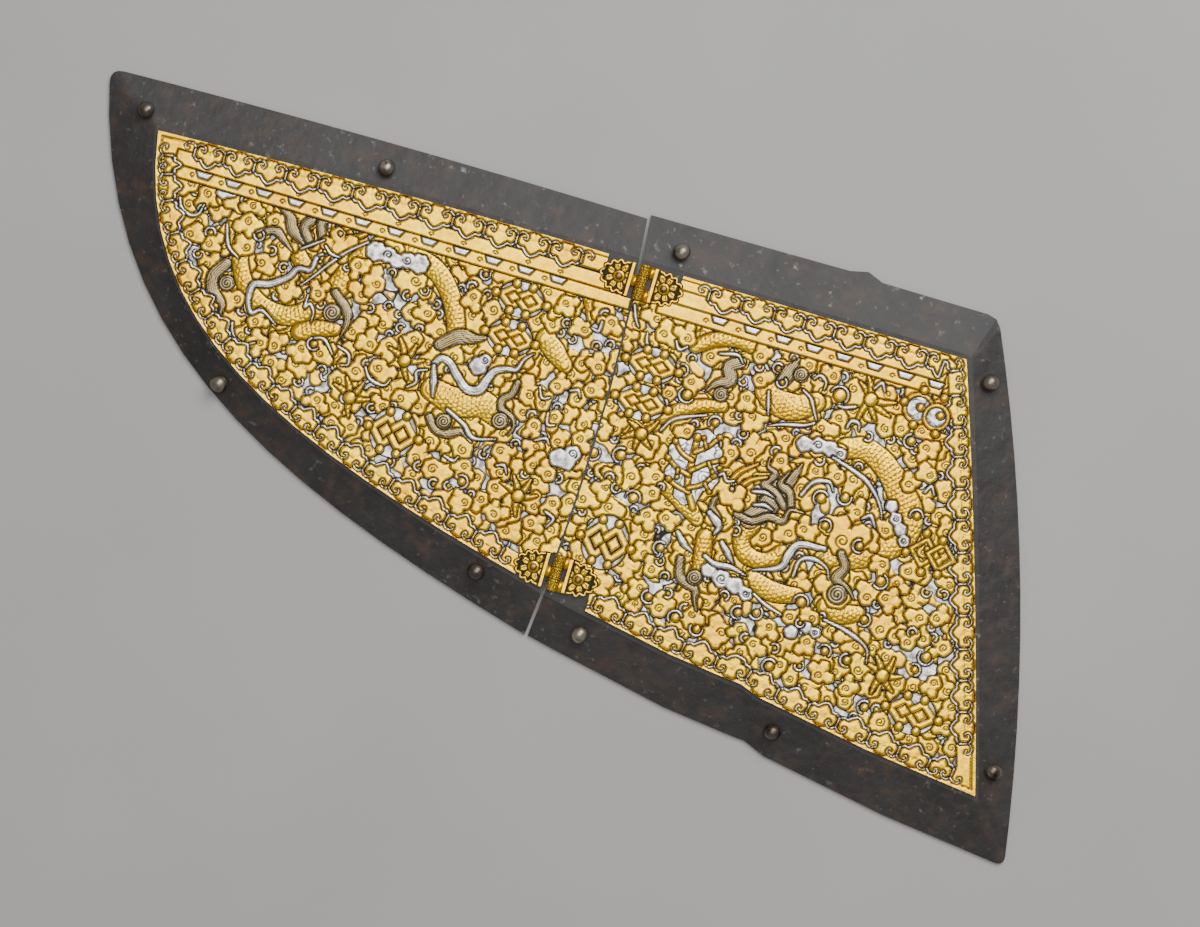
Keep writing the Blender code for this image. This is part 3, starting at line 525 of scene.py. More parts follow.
FORE_TUFTS = (
    (((-161, 21), (-164.5, 15), (-163, 9), (-158, 5), (-157.5, -1)), 5.0, (-158.5, 13.5, 3.0, 1)),
    (((-116, 22), (-110, 17), (-108, 12), (-109, 6)), 4.0, (-115, 14, 3.5, -1)),
    (((-36, 8), (-37, 3), (-40, 0), (-39, -4), (-34, -6), (-32.5, -10), (-34, -13)),
     3.0, (-38.5, -8.5, 3.2, 1)),
    (((-66, -15), (-62, -19), (-57, -19), (-52, -17), (-47, -20)), 4.0, (-60, -15, 3.0, -1)),
    (((-133, 38), (-139, 41), (-142, 46), (-149, 50)), 4.5, None),
    (((-131, 38), (-135, 44), (-131, 50), (-133, 57)), 4.0, None),
    (((-127, 41), (-129, 48), (-124, 53), (-126, 60)), 4.0, None),
    (((-121, 45), (-122, 51), (-117, 55), (-117, 61)), 3.4, None),
    (((-152, 36), (-146, 39), (-141, 36), (-137, 33)), 3.4, None),
    (((-110, 50), (-106, 52.5), (-101, 53.5)), 3.4, (-113, 48.5, 3.0, 1)),
    (((-70, 14), (-64, 19), (-58, 20), (-52, 22)), 6.0, None),
)
FORE_BODIES = (
    (((-158, 37), (-157, 27), (-152, 16), (-143, 9), (-131, 8), (-121, 15), (-115, 26), (-110, 37),
     (-102, 43), (-90, 44.5), (-80, 42), (-73, 36), (-68, 28), (-65, 20)), (5.5, 9.0, 7.0)),
    (((-138, 36), (-133, 31), (-126, 25)), (6.0, 6.5, 6.0)),
    (((-68, -4), (-58, -6), (-48, -4), (-39, -7)), (9.0, 12.0, 9.0)),
    (((-30, 28), (-25, 24), (-20, 20)), (8.0, 8.0, 6.0)),
    (((-20, 52), (-17, 46), (-15, 40)), (4.5, 4.5, 3.0)),
    (((-125, 3), (-119, 6), (-112, 8)), (7.0, 7.0, 5.0)),
)
FORE_LINES = (
    (1.3, (-186, 41), (-184, 37), (-180, 35.5), (-177, 37), (-176, 41)),
    (1.3, (-165, 36), (-162, 28), (-157, 24.5)),
    (2.6, (-127, 33), (-128, 28), (-133, 27), (-135.5, 23), (-142, 18), (-148, 16), (-148.5, 10),
     (-146, 5), (-142, 7), (-135, 3)),
    (1.3, (-109, 45), (-116, 39), (-121, 33), (-126, 26), (-130, 21)),
    (1.2, (-126, 18), (-126, 13), (-124.5, 15), (-122, 12), (-122, 8)),
    (1.2, (-120, 2), (-115, 3), (-110, -2)), (1.2, (-109, 2), (-104, 0), (-103, -4), (-106, -5)),
    (1.3, (-96, -3), (-93, -7), (-87, -8), (-85, -5)), (1.2, (-78, -6), (-75, -3), (-76, 1), (-72, 3)),
    (3.4, (-70, 6), (-68, 9), (-64, 8), (-60, 4), (-55, 0), (-50, 1), (-48, 6), (-46, 10), (-42, 12),
     (-38, 13), (-36, 18), (-33, 21)),
    (2.6, (-70, 5), (-68, -2), (-67, -7)), (1.8, (-60, -10), (-52, -14), (-47, -18), (-38, -16)),
    (1.2, (-27, 9), (-25, 5), (-22, 6)), (1.2, (-15, 11), (-12, 12), (-10.5, 9.5)),
    (1.2, (-21, 0), (-20, -4.5), (-17, -4)), (1.2, (-23, -12), (-19, -10), (-17, -12)),
    (1.2, (-35, -26), (-32, -25), (-30, -28)), (1.2, (-56, -28), (-52, -29), (-50.5, -27)),
    (1.2, (-30, -51), (-28, -54), (-25, -57)), (1.3, (-11, -38), (-7, -40), (-9, -44)),
    (1.2, (-152, -1), (-150, -6), (-145, -8), (-141, -6)), (1.2, (-125, 39), (-122, 36.5), (-118, 36)),
    (1.2, (-134, 35), (-130, 38), (-126, 41)), (1.3, (-10.5, 41), (-11, 37), (-14, 37.5)),
)
FORE_HOOKS = (
    (-170.5, 31, 2.0), (-173, 21.5, 1.6), (-145, 31, 1.8), (-138.5, 26, 1.7), (-151.5, 35.5, 2.0),
    (-96.5, 36, 1.6), (-88, 29, 1.7), (-76, 29, 1.7), (-94, 23, 1.7), (-60.5, 46, 2.0),
    (-57.5, 38.5, 1.7), (-24, 36.5, 1.6), (-20, 31, 1.5), (-10, 31, 1.8), (-118.5, 0, 2.4),
    (-101, 20, 1.7), (-87, 16, 1.7), (-120, -16, 1.8), (-112.5, -9, 1.8), (-89, -18, 1.8),
    (-76.5, -36.5, 2.2), (-30, -15.5, 1.8), (-41, -23, 1.8), (-46.5, -36, 2.6), (-57, -40, 1.8),
    (-82, 33, 1.5), (-5, 33, 1.8), (-51, -39, 1.6),
)
FORE_SILVER_CLOUDS = (
    ((-105, 42.5, 4.0), (-100, 42.5, 3.2), (-96, 41, 3.0), (-92, 42.5, 3.2), (-87, 42.5, 4.0)),
    ((-53, 10, 3.6), (-51, 13, 2.6)), ((-12, -16, 3.8), (-7, -13, 3.4), (-8, -17, 3.0)),
    ((-170, 48, 2.8), (-167, 49, 2.4)),
)
FORE_CLAWS = (
    (-81.8, 3.8, 2.4, ((-89, 7), (-86, 12), (-79, 11), (-74.5, 6), (-79, -3))),
    (-98.7, -16.5, 2.4, ((-106, -13), (-102, -9), (-95, -9.5), (-91, -15), (-97, -24))),
    (-23.2, -35.2, 2.4, ((-31, -32), (-27, -28), (-20, -27.5), (-16, -33), (-22, -43))),
)
FORE_HEAD = ((-119, 39.5, 3.6), (-115.5, 43, 3.0), (-121.5, 44.5, 3.0), (-125, 40, 2.6), (-117, 36, 2.2))
FORE_HORNS = (((-121, 46), (-117, 50), (-113, 55)), ((-118, 44), (-112, 47), (-108, 52)))
FORE_EYE = (-120.5, 45.2)
FORE_KNOTS = ((-44, 40.5, 10.5, 8.2), (-44, 24.5, 10.5, 8.2), (-78, -25, 10.5, 11.5))

# %% The rear panel's table
REAR_CREST_STEMS = (27.4, 40.9, 54.5, 67, 79.6, 92, 105, 118, 130.5)
REAR_CREST_Y = 62.2
REAR_EDGE_STEMS = (
    (131.5, 52), (135.5, 40), (139.5, 29), (144.2, 17), (148.6, 5.5), (152.6, -7), (156.4, -19),
    (160, -31), (163.4, -44), (166.8, -56), (170.6, -68), (174.5, -80),
)
REAR_LOW_STEMS = (
    (17.5, -68), (31, -70.3), (44, -72.5), (57, -75.2), (71, -78.3), (84.5, -80.5), (98, -82.4),
    (111.5, -84.5), (124.5, -86.6), (138, -88.6), (151, -90.5), (164, -92.3), (174, -93.8),
)
REAR_COILS = (
    (14.5, 43, 2.0), (24, 44, 2.0), (24, 27.5, 1.8), (30, 28, 1.8), (54, 45.5, 1.8), (56.5, 36.5, 1.8),
    (53.5, 28, 1.8), (73.5, 47.5, 1.8), (84, 46, 1.8), (116, 33.5, 1.8), (124, 35, 1.8), (127.5, 29, 1.8),
    (0.5, 1, 1.8), (6, 1.5, 1.8), (34.5, 8.5, 1.8), (6, -16, 1.8), (12, -17.5, 1.8), (9.5, -22, 1.8),
    (28, -19, 1.8), (28.5, -28, 1.8), (36, -27, 1.8), (86, 17, 2.2), (90.5, 17, 2.2), (73.5, 8, 1.8),
    (88, 8, 1.8), (97, 8, 1.8), (84.5, -0.5, 2.6), (108.5, -3.5, 1.8), (114, 1, 1.8), (121.5, -7, 1.8),
    (110, -9.5, 1.8), (116.5, -11, 1.8), (90, -16, 1.8), (106, -16, 3.4), (110, -37, 3.2),
    (124, -20.5, 1.8), (131.5, -26, 1.8), (129, -33, 1.8), (125, 13, 1.8), (132, 19, 1.8),
    (152, -21, 1.8), (151, -35, 1.8), (32, -43, 1.8), (36, -48.5, 1.8), (34, -56.5, 1.8), (57, -61, 1.8),
    (34, -63, 1.6), (71.5, -51, 1.8), (87.5, -57, 1.8), (103, -49, 1.8), (94.5, -51, 1.8),
    (104, -58.5, 1.8), (92.5, -60, 2.6), (83.5, -65.5, 1.8), (77, -61.5, 1.8), (79.5, -70, 1.8),
    (96, -70.5, 1.8), (101.5, -74.5, 1.8), (113.5, -65, 1.8), (118, -67, 1.8), (112, -70, 1.8),
    (124, -72, 1.8), (125, -77, 1.8), (137, -46.5, 1.8), (142.5, -47.5, 1.8), (148, -44.5, 1.8),
    (157, -60, 1.8), (63.5, -43.5, 2.2), (68.5, -44.5, 2.0),
)
REAR_TUFTS = (
    (((47, 41), (43, 38), (45, 33), (40, 30), (37, 26)), 5.5, (43, 26.5, 2.8, 1)),
    (((65, 38), (67, 43), (69, 49)), 6.0, (71.5, 43, 2.8, -1)),
    (((107, -21), (110, -26), (108, -31), (114, -34), (117, -37)), 4.0, (110, -37, 3.8, 1)),
    (((46, -41), (48, -48), (55, -51), (56, -55), (58, -59)), 4.0, (53.5, -46.5, 3.0, -1)),
    (((68, -18), (73, -12), (76, -4), (80, 3), (82, 9)), 9.0, None),
    (((80, -9.5), (75.5, -5.5), (70, -3), (73, 2), (69.5, 4), (69, 7.5)), 3.6, None),
    (((82.5, -8.5), (80.5, -3.5), (76, -1), (78, 4.5)), 3.4, None),
    (((62.5, -17.5), (69, -18.5), (75, -15), (81, -15), (82.5, -10), (88, -9.5)), 3.2, None),
    (((52.5, -13.5), (52.5, -18), (56.5, -21.5), (57, -25.5)), 2.6, None),
)
REAR_BODIES = (
    (((28, 42), (35, 47), (43, 49), (50, 48)), (5.5, 6.0, 5.0)),
    (((23, 11), (29, 16), (37, 20), (45, 22)), (5.0, 5.5, 4.5)),
    (((60, 33), (65, 30), (73, 30), (80, 34)), (9.0, 11.0, 8.0)),
    (((97, 20), (105, 22), (115, 17), (122, 10), (128, 3), (129, -6), (122, -15), (112, -21),
     (101, -25)), (8.0, 11.5, 8.0)),
    (((70, -20), (67, -26), (71, -32), (79, -32), (84, -27)), (6.0, 7.0, 5.5)),
    (((53, -30), (54, -37), (55, -44)), (6.5, 7.0, 6.0)),
    (((76, -41), (85, -43), (95, -42)), (7.5, 8.0, 6.0)),
    (((107, -43), (113, -44), (120, -42)), (7.0, 8.0, 6.0)),
    (((34, -15), (40, -18), (48, -24)), (7.5, 8.0, 5.0)),
)
REAR_LINES = (
    (1.3, (0, 51), (2, 46), (4, 43)), (1.3, (20, 42), (22, 39), (25, 41)),
    (1.4, (38, 42), (45, 43.5), (48, 41)), (1.4, (61, 33), (63.5, 24)),
    (1.3, (77, 43), (79, 45), (82, 43), (82, 40)), (1.4, (101, 46), (103.5, 49), (105.5, 46)),
    (1.3, (74, 37.5), (78, 35), (81, 30), (82.5, 27.5)), (1.4, (82, 26), (78, 24), (70, 22), (65, 20)),
    (1.5, (95, 28), (96, 31), (99, 31), (100, 28)), (1.4, (24, 6), (27, 11), (32, 14), (40, 17)),
    (1.3, (51, -5), (53, -3.5), (55, -6), (58, -5)), (3.0, (52, -20), (57, -24), (56, -28)),
    (2.4, (60, -30), (63, -33), (67, -37)), (2.4, (42, -31), (46, -35), (50, -37)),
    (1.7, (93, 15), (100, 13), (108, 10), (114, 5), (117.5, 0), (118.5, -3)),
    (1.4, (111, -5), (114, -3), (117, -7)), (1.8, (85, -3), (88, 3), (92, 5), (95, 5), (97, 2)),
    (3.0, (100, -21), (90, -22), (87, -27), (85, -33), (75, -37)),
    (1.7, (91, -35), (92, -28), (97, -26), (103, -28), (105, -32)), (1.6, (66, -7), (71, -6), (75, -7)),
    (1.6, (68, -12), (72, -11), (76, -12)), (1.6, (108, -48), (118, -50), (127, -54), (129, -60)),
    (1.3, (132, 12), (134, 15), (136, 12)), (1.4, (96, 37), (92, 35.5), (89, 35.5)),
    (2.2, (55, -37), (60, -39), (66, -38.5), (73, -40)), (1.3, (78, -46), (84, -49), (91, -51)),
    (1.3, (12, 35.5), (9, 38), (8, 42)),
)
REAR_HOOKS = (
    (28, 37, 1.7), (30, 22.5, 3.0), (25.5, 31.5, 2.4), (62, 43, 2.0), (65, 38, 2.0), (88.5, 39.5, 3.6),
    (121, 30, 2.8), (104, 27, 1.8), (44, 15, 2.6), (56, 14, 1.9), (47, 7, 1.8), (11.5, -8, 3.0),
    (0.5, -10, 3.0), (21, -23, 3.0), (13.5, -21, 1.8), (64, -24, 1.8), (93, -2, 3.0), (102, 1, 2.8),
    (97.5, -12, 2.6), (113, -16, 2.6), (125, -27, 3.0), (131.5, 2, 2.6), (144, -26, 1.8), (151, -25, 1.6),
    (37, -39, 2.6), (38.5, -44, 1.6), (42, -49.5, 1.8), (38, -59, 2.6), (45, -55.5, 1.8),
    (50.5, -64, 2.8), (60, -66, 2.6), (67, -50, 1.8), (74, -55, 2.6), (81, -53, 2.6), (97, -44, 3.0),
    (99, -52, 1.6), (92, -64.5, 1.8), (92, -72, 2.8), (103.5, -68.5, 1.8), (111.5, -60, 2.6),
    (121, -61, 2.6), (123, -43.5, 2.6), (143, -43, 1.8), (151, -51, 3.0), (148, -57, 2.4),
    (133, -77, 2.6), (50, 34, 1.6), (130, -82, 1.6),
)
REAR_SILVER_CLOUDS = (
    ((80.5, 17, 3.2), (86, 18, 3.2), (91, 18, 3.2), (95.5, 17, 2.6)),
    ((121, 3, 2.6), (124, -1.5, 2.6), (127, -5, 2.6), (129.5, -9, 2.4)),
    ((58, -42, 3.0), (64, -44, 3.6), (70, -45, 3.4), (75, -47, 2.8)), ((102, -53, 2.4), (106, -54, 2.2)),
    ((96.5, -56.5, 2.8),),
)
REAR_CORAL = (
    (2.4, ((45, -20), (40.5, -12), (39.5, -2.5), (39, 7.5))),
    (1.7, ((41.5, -14.5), (36.5, -13.5), (32.5, -11.5))), (1.7, ((40, -8), (34.5, -6.5), (30, -3.5))),
    (1.7, ((39.5, -2), (34.5, 0), (31, 3.5))), (1.7, ((41, -13), (46, -10), (49.5, -5.5))),
    (1.7, ((40, -6), (45.5, -1.5), (51, 1.5))), (1.7, ((39.5, 1.5), (44, 5), (47.5, 10))),
    (1.3, ((47, -9.5), (49.5, -12))), (1.3, ((46, -1), (48.5, -4))), (1.3, ((35, -7), (35.5, -10))),
    (1.3, ((43.5, 4.5), (41.5, 8))),
)
CORAL_GROUND = ((41, -14), (36, -8), (46, -7), (35, 0), (45, 2), (40, -3), (42, 6))
REAR_CLAWS = (
    (101, 41.4, 2.6, ((95, 47), (97, 51), (98, 31), (105, 34), (110, 37), (111, 43))),
    (136.5, -63, 2.6, ((129, -60), (132, -56), (139, -55), (144, -61), (142, -68), (134, -71))),
    (17, 2.5, 2.4, ((10, -1), (11, 6), (16, -4), (22, -2), (22, 9))),
    (178, -92.5, 1.6, ((174, -92), (176, -88), (181, -90), (182, -94), (178, -96))),
)
REAR_HEAD = ((57, -12, 3.4), (61, -9, 3.0), (54, -8, 3.0), (50, -11, 2.6), (47, -14, 2.4), (62, -14, 2.6))
REAR_HORNS = (((60, -8), (64, -3), (70, 0)), ((56, -7), (59, -1), (65, 4)))
REAR_EYE = (58, -8.4)
REAR_KNOTS = (
    (13.5, 30, 11.0, 8.0), (13.5, 14.5, 11.0, 8.0), (15.5, -43, 10.5, 12.5), (152, -74, 11.0, 9.5),
)
COINS = ((120.3, 43.5, 6.3), (128, 42, 5.5))
COIN_BALLS = ((120.5, 51), (129, 50.3), (114, 44.5), (120, 36.5), (129.5, 35.5), (121, 44), (129.5, 43))
LOZENGES = ((138.5, -11, 6.5), (145.5, -11, 6.5))
LOZENGE_BALLS = ((137.5, -3.5), (144.5, -4.5), (131.5, -13), (139.5, -19), (146, -18))

# %% [markdown]
# ## Strips under the crest
# Two narrow gold bands with silver leaves run under the crest's border, each closed below by a dark line.

# %% The strips
FORE_STRIP_LINES = (53.7, 48.6)
REAR_STRIP_LINES = (56.2, 50.6)
LEAF_TOP = 6.6
LEAF_FOOT = 4.0
LEAF_DEPTH = 2.4


def strips(field, lines, low_x, high_x, stems):
    """Two gold bands. Between each two stems a silver leaf hangs from the lower band's top edge, with a
    small coil over it and one beside it."""
    upper, lower = lines
    for top, foot in ((upper + 5.6, upper), (upper - 0.4, lower)):
        plate(field, ((low_x, foot), (high_x, foot), (high_x, top), (low_x, top)), 0.0, 0.85, 0.4, 0.15)
    for stem, following in zip(stems, stems[1:]):
        middle = (stem + following) / 2
        coil(field, middle, upper + 1.6, 1.0, turns=1.2)
        coil(field, stem + 1.5, lower + 2.3, 1.1, turns=1.2)
        leaf = ((-LEAF_TOP / 2, upper - 0.5), (-LEAF_FOOT / 2, upper - 0.5 - LEAF_DEPTH))
        corners = [(middle + u, v) for u, v in leaf] + [(middle - u, v) for u, v in leaf[::-1]]
        plate(field, corners, 1.0, 1.0)


# %% [markdown]
# ## Laying the forms in order
# A later form covers an earlier one, so the order decides what lies on top. Low gold and small seeded
# clouds cover the ground first. The dragons' bodies come next, then the measured clouds, the tufts of mane
# and the claws, horns and heads, and then the silver lines, the hooks and the knots. The gold band, the
# strips and the border close the edge. The cavity is the mean height around a point less the point's own
# height. It paints shade into corners and hollows and brightens worn edges later.

# %% Both panels' fields
TABLES = {
    "fore": {
        "coils": FORE_COILS, "bodies": FORE_BODIES, "tufts": FORE_TUFTS, "claws": FORE_CLAWS,
        "horns": FORE_HORNS, "head": FORE_HEAD, "eye": FORE_EYE, "lines": FORE_LINES, "hooks": FORE_HOOKS,
        "silver clouds": FORE_SILVER_CLOUDS, "knots": FORE_KNOTS,
    },
    "rear": {
        "coils": REAR_COILS, "bodies": REAR_BODIES, "tufts": REAR_TUFTS, "claws": REAR_CLAWS,
        "horns": REAR_HORNS, "head": REAR_HEAD, "eye": REAR_EYE, "lines": REAR_LINES, "hooks": REAR_HOOKS,
        "silver clouds": REAR_SILVER_CLOUDS, "knots": REAR_KNOTS,
    },
}
SEEDS = {"fore": 11, "rear": 23}
FILL_SPACING = 6.1
FILL_TRIES = 12000
FILL_MARGIN = 9.5
SEAM_SIDE = 19.0


def filler(field, taken, rng):
    """Throws seeded points at the field. Each that is clear of all others becomes a small cloud."""
    low = np.array([field["x"].min(), field["y"].min()])
    high = np.array([field["x"].max(), field["y"].max()])
    spots = np.array(taken, float)[:, :2]
    kept = 0
    for place in rng.uniform(low, high, (FILL_TRIES, 2)):
        if np.hypot(*(spots - place).T).min() < FILL_SPACING or facing(field, *place)[2] < FILL_MARGIN:
            continue
        spots = np.vstack([spots, place])
        puff(field, *place, rng.uniform(1.9, 2.4), rng)
        kept += 1
    return kept


def puff(field, x, y, radius, rng):
    """A cloud round one coil: its main lobe holds the coil, and two or three smaller lobes sit beside it.
    About half of the clouds lie on a silver hook that shows on the far side from the last lobe."""
    turn = rng.uniform(0, 2 * math.pi)
    lobes = [(x, y, radius * 1.75)]
    for step in range(int(rng.integers(2, 4))):
        angle = turn + step * rng.uniform(0.9, 1.3)
        reach = radius * rng.uniform(1.9, 2.5)
        spot = (x + reach * math.cos(angle), y + reach * math.sin(angle))
        lobes.append((*spot, radius * rng.uniform(1.0, 1.4)))
    if rng.random() < 0.5:
        away = radius * 2.3
        hook(field, x - away * math.cos(angle), y - away * math.sin(angle), rng.uniform(1.2, 1.9),
             start=math.degrees(angle) + 100, sweep=180, width=1.1)
    cloud(field, lobes, [(x, y, radius * 0.85)])


def field_forms(field, rows, rng):
    """The forms of one panel's tables, the lowest first."""
    for points, widths in rows["bodies"]:
        body(field, points, widths)
    coils = rows["coils"]
    for number in rng.permutation(len(coils)):
        puff(field, *coils[number], rng)
    for lobes in rows["silver clouds"]:
        coils = [(x, y, radius * 0.55) for x, y, radius in lobes[1::2]]
        cloud(field, lobes, coils, silver=1.0, top=1.1)
    for points, width, curl in rows["tufts"]:
        tuft(field, points, (width * 0.8, width, 0.5), curl)
    for x, y, palm, tips in rows["claws"]:
        claw(field, x, y, palm, tips)
    for points in rows["horns"]:
        stroke(field, points, (2.2, 2.0, 1.0), 1.1, silver=0.0)
    cloud(field, rows["head"], top=1.05)
    disc(field, *rows["eye"], 0.9, silver=1.0, top=1.2)
    for width, *points in rows["lines"]:
        view, _, aside, half = stroke(field, points, (width * 0.7, width * 1.1, 0.6), lip=0.25)
        if width > 1.4:
            engrave(view, np.abs(aside) - half * 0.4, 0.16, 0.14, 0.5)
    for number, (x, y, radius) in enumerate(rows["hooks"]):
        hook(field, x, y, radius, start=137.5 * number, sweep=200 if radius > 2.2 else 230)
        disc(field, x + 0.2, y, max(radius - 1.1, 0.7), silver=0.0)
    for row in rows["knots"]:
        knot(field, *row)


def cavity(height, reach=3):
    """The mean height in a square round each point less the point's height, from running sums."""
    size = 2 * reach + 1
    padded = np.pad(height, reach + 1, mode="edge")
    sums = padded.cumsum(0).cumsum(1)
    block = sums[size:, size:] - sums[:-size, size:] - sums[size:, :-size] + sums[:-size, :-size]
    return (block / size**2)[: height.shape[0], : height.shape[1]] - height


def make_field(side, crest, crest_y, edges, lines, strip_ends):
    """One panel's whole field."""
    rng = np.random.default_rng(SEEDS[side])
    rows = TABLES[side]
    field = new_field(OUTLINES[side])
    field["margin"] = side_distance(field, OUTLINES[side], SEAM_SIDE)
    ground_gold(field, rng)
    known = [row[:2] for row in rows["coils"] + rows["hooks"]]
    count = filler(field, known, rng)
    field_forms(field, rows, rng)
    rim(field)
    strips(field, lines, *strip_ends, crest)
    for places in ([(x, crest_y) for x in crest], *edges):
        border(field, places)
    field["cavity"] = cavity(field["height"])
    print(side, "field:", field["x"].shape, "points,", count, "small clouds")
    return field


FORE_STRIP_ENDS = (-192, -2)
REAR_STRIP_ENDS = (9, 127)
FIELDS = {
    "fore": make_field("fore", FORE_CREST_STEMS, FORE_CREST_Y, [FORE_LEAD_STEMS],
                       FORE_STRIP_LINES, FORE_STRIP_ENDS),
    "rear": make_field("rear", REAR_CREST_STEMS, REAR_CREST_Y, [REAR_EDGE_STEMS, REAR_LOW_STEMS],
                       REAR_STRIP_LINES, REAR_STRIP_ENDS),
}
cloud(FIELDS["rear"], [(x, y, 5.5) for x, y in CORAL_GROUND], silver=1.0, top=0.1)
for width, points in REAR_CORAL:
    stroke(FIELDS["rear"], points, (width, width, width), 1.0, silver=0.0, lip=0.3)
    disc(FIELDS["rear"], *points[-1], width * 0.7, top=1.05)
for x, y, radius in COINS:
    disc(FIELDS["rear"], x, y, radius, silver=1.0, top=0.4)
    ring(FIELDS["rear"], x, y, radius, 1.5)
for x, y, half in LOZENGES:
    lozenge(FIELDS["rear"], x, y, half, 1.6)
for x, y in COIN_BALLS + LOZENGE_BALLS:
    disc(FIELDS["rear"], x, y, 1.6, top=1.15)

# %% [markdown]
# ## From the field to a closed skin
# The grid's squares inside the outline become the upper face. Their outer points are moved to the outline
# itself along the slope of the distance, so the edge is smooth and not a staircase. A wall goes down from
# them to the seat of the panel, and one wide face closes it. A panel is cut into upright bands, because
# one mesh of that many triangles would be thinned when it is exported.

# %% The skin of a field
def settle(keep):
    """Adds single cells so that no two kept cells touch at a corner alone."""
    for _ in range(3):
        falling = keep[:-1, :-1] & keep[1:, 1:] & ~keep[:-1, 1:] & ~keep[1:, :-1]
        rising = keep[:-1, 1:] & keep[1:, :-1] & ~keep[:-1, :-1] & ~keep[1:, 1:]
        keep[:-1, 1:] |= falling
        keep[:-1, :-1] |= rising
    return keep


def skin(name, field, keep, seat, ground):
    """A closed mesh: the kept cells as squares, walls from their free edges to the seat, and a foot."""
    index = np.arange(field["x"].size).reshape(field["x"].shape)
    squares = np.stack([index[:-1, :-1], index[:-1, 1:], index[1:, 1:], index[1:, :-1]], -1)[keep]
    used, squares = np.unique(squares, return_inverse=True)
    squares = squares.reshape(-1, 4)
    count = len(used)
    x, y, z = (field[key].ravel()[used] for key in ("x", "y", "height"))
    edges = np.concatenate([squares[:, [i, (i + 1) % 4]] for i in range(4)])
    free = edges[~np.isin(edges[:, 0] * count + edges[:, 1], edges[:, 1] * count + edges[:, 0])]
    around = np.zeros(count, bool)
    around[free[:, 0]] = True
    rise, run = np.gradient(field["depth"])
    slope = np.hypot(rise, run) + 1e-9
    depth = field["depth"].ravel()[used]
    near = around & (np.abs(depth) < 1.2 * (field["x"][0, 1] - field["x"][0, 0]))
    x = np.where(near, x - depth * (run / slope).ravel()[used], x)
    y = np.where(near, y - depth * (rise / slope).ravel()[used], y)
    rims = np.flatnonzero(around)
    lower = np.full(count, -1)
    lower[rims] = count + np.arange(len(rims))
    points = np.column_stack([
        np.concatenate([x, x[rims]]) + HINGE[0] / MM,
        np.concatenate([y, y[rims]]) + HINGE[1] / MM,
        np.concatenate([ground + z, np.full(len(rims), seat)]),
    ]) * MM
    walls = np.column_stack([free[:, 1], free[:, 0], lower[free[:, 0]], lower[free[:, 1]]])
    piece = from_arrays(name, points, np.concatenate([squares, walls]))
    # The walls' points are set fully dark: painted shade along the panel's edge.
    for key, below in (("silver", 0.0), ("grime", 1.0), ("cavity", 0.0), ("dull", 0.0)):
        values = np.concatenate([field[key].ravel()[used], np.full(len(rims), below)])
        layer = piece.data.attributes.new(key, "FLOAT", "POINT")
        layer.data.foreach_set("value", values.astype(np.float32))
    close_foot(piece)
    return piece


def from_arrays(name, points, faces):
    """A mesh object from an array of points in metres and an array of four-sided faces."""
    mesh = bpy.data.meshes.new(name)
    mesh.vertices.add(len(points))
    mesh.vertices.foreach_set("co", points.astype(np.float32).ravel())
    mesh.loops.add(faces.size)
    mesh.loops.foreach_set("vertex_index", faces.astype(np.int32).ravel())
    mesh.polygons.add(len(faces))
    mesh.polygons.foreach_set("loop_start", np.arange(len(faces), dtype=np.int32) * 4)
    mesh.update(calc_edges=True)
    piece = bpy.data.objects.new(name, mesh)
    bpy.context.scene.collection.objects.link(piece)
    return piece


def close_foot(piece):
    """Fills the open foot with one face that looks down, then smooths all but the sharpest edges."""
    bm = bmesh.new()
    bm.from_mesh(piece.data)
    made = bmesh.ops.holes_fill(bm, edges=[edge for edge in bm.edges if edge.is_boundary], sides=0)["faces"]
    for face in made:
        face.normal_update()
        if face.normal.z > 0:
            face.normal_flip()
    bm.to_mesh(piece.data)
    bm.free()
    piece.data.shade_smooth()
    piece.data.set_sharp_from_angle(angle=math.radians(80))


BANDS = {"fore": 2, "rear": 3}
RELIEFS = []
for side, field in FIELDS.items():
    low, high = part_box(f"{side}_panel")
    seat = low.z / MM
    depth = field["depth"]
    keep = settle((depth[:-1, :-1] + depth[1:, :-1] + depth[:-1, 1:] + depth[1:, 1:]) > 0)
    columns = keep.sum(0).cumsum() / keep.sum()
    for band in range(BANDS[side]):
        mine = (columns > band / BANDS[side]) & (columns <= (band + 1) / BANDS[side] + 1e-12)
        piece = skin(f"{side}_relief_{band + 1}", field, keep & mine, seat, seat + 1.0)
        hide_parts(f"{side}_panel")
        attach(piece, side)
        RELIEFS.append(piece)
        print(piece.name, "faces:", len(piece.data.polygons))

# %% [markdown]
# ## Hinge leaves
# Each hinge leaf is a gilt flower held by one rivet, with a bar beside the knuckles. The same field makes
# it, on a finer grid: a raised rim, eight petals round a boss on a dark ground and two small coils at the
# tip.

# %% The four leaves
LEAF_CELL = 0.14
RIVET_X = 9.3
HINGE_Y = 60.4
PETAL_COUNT = 8
LEAF_TOP_HEIGHT = 0.5


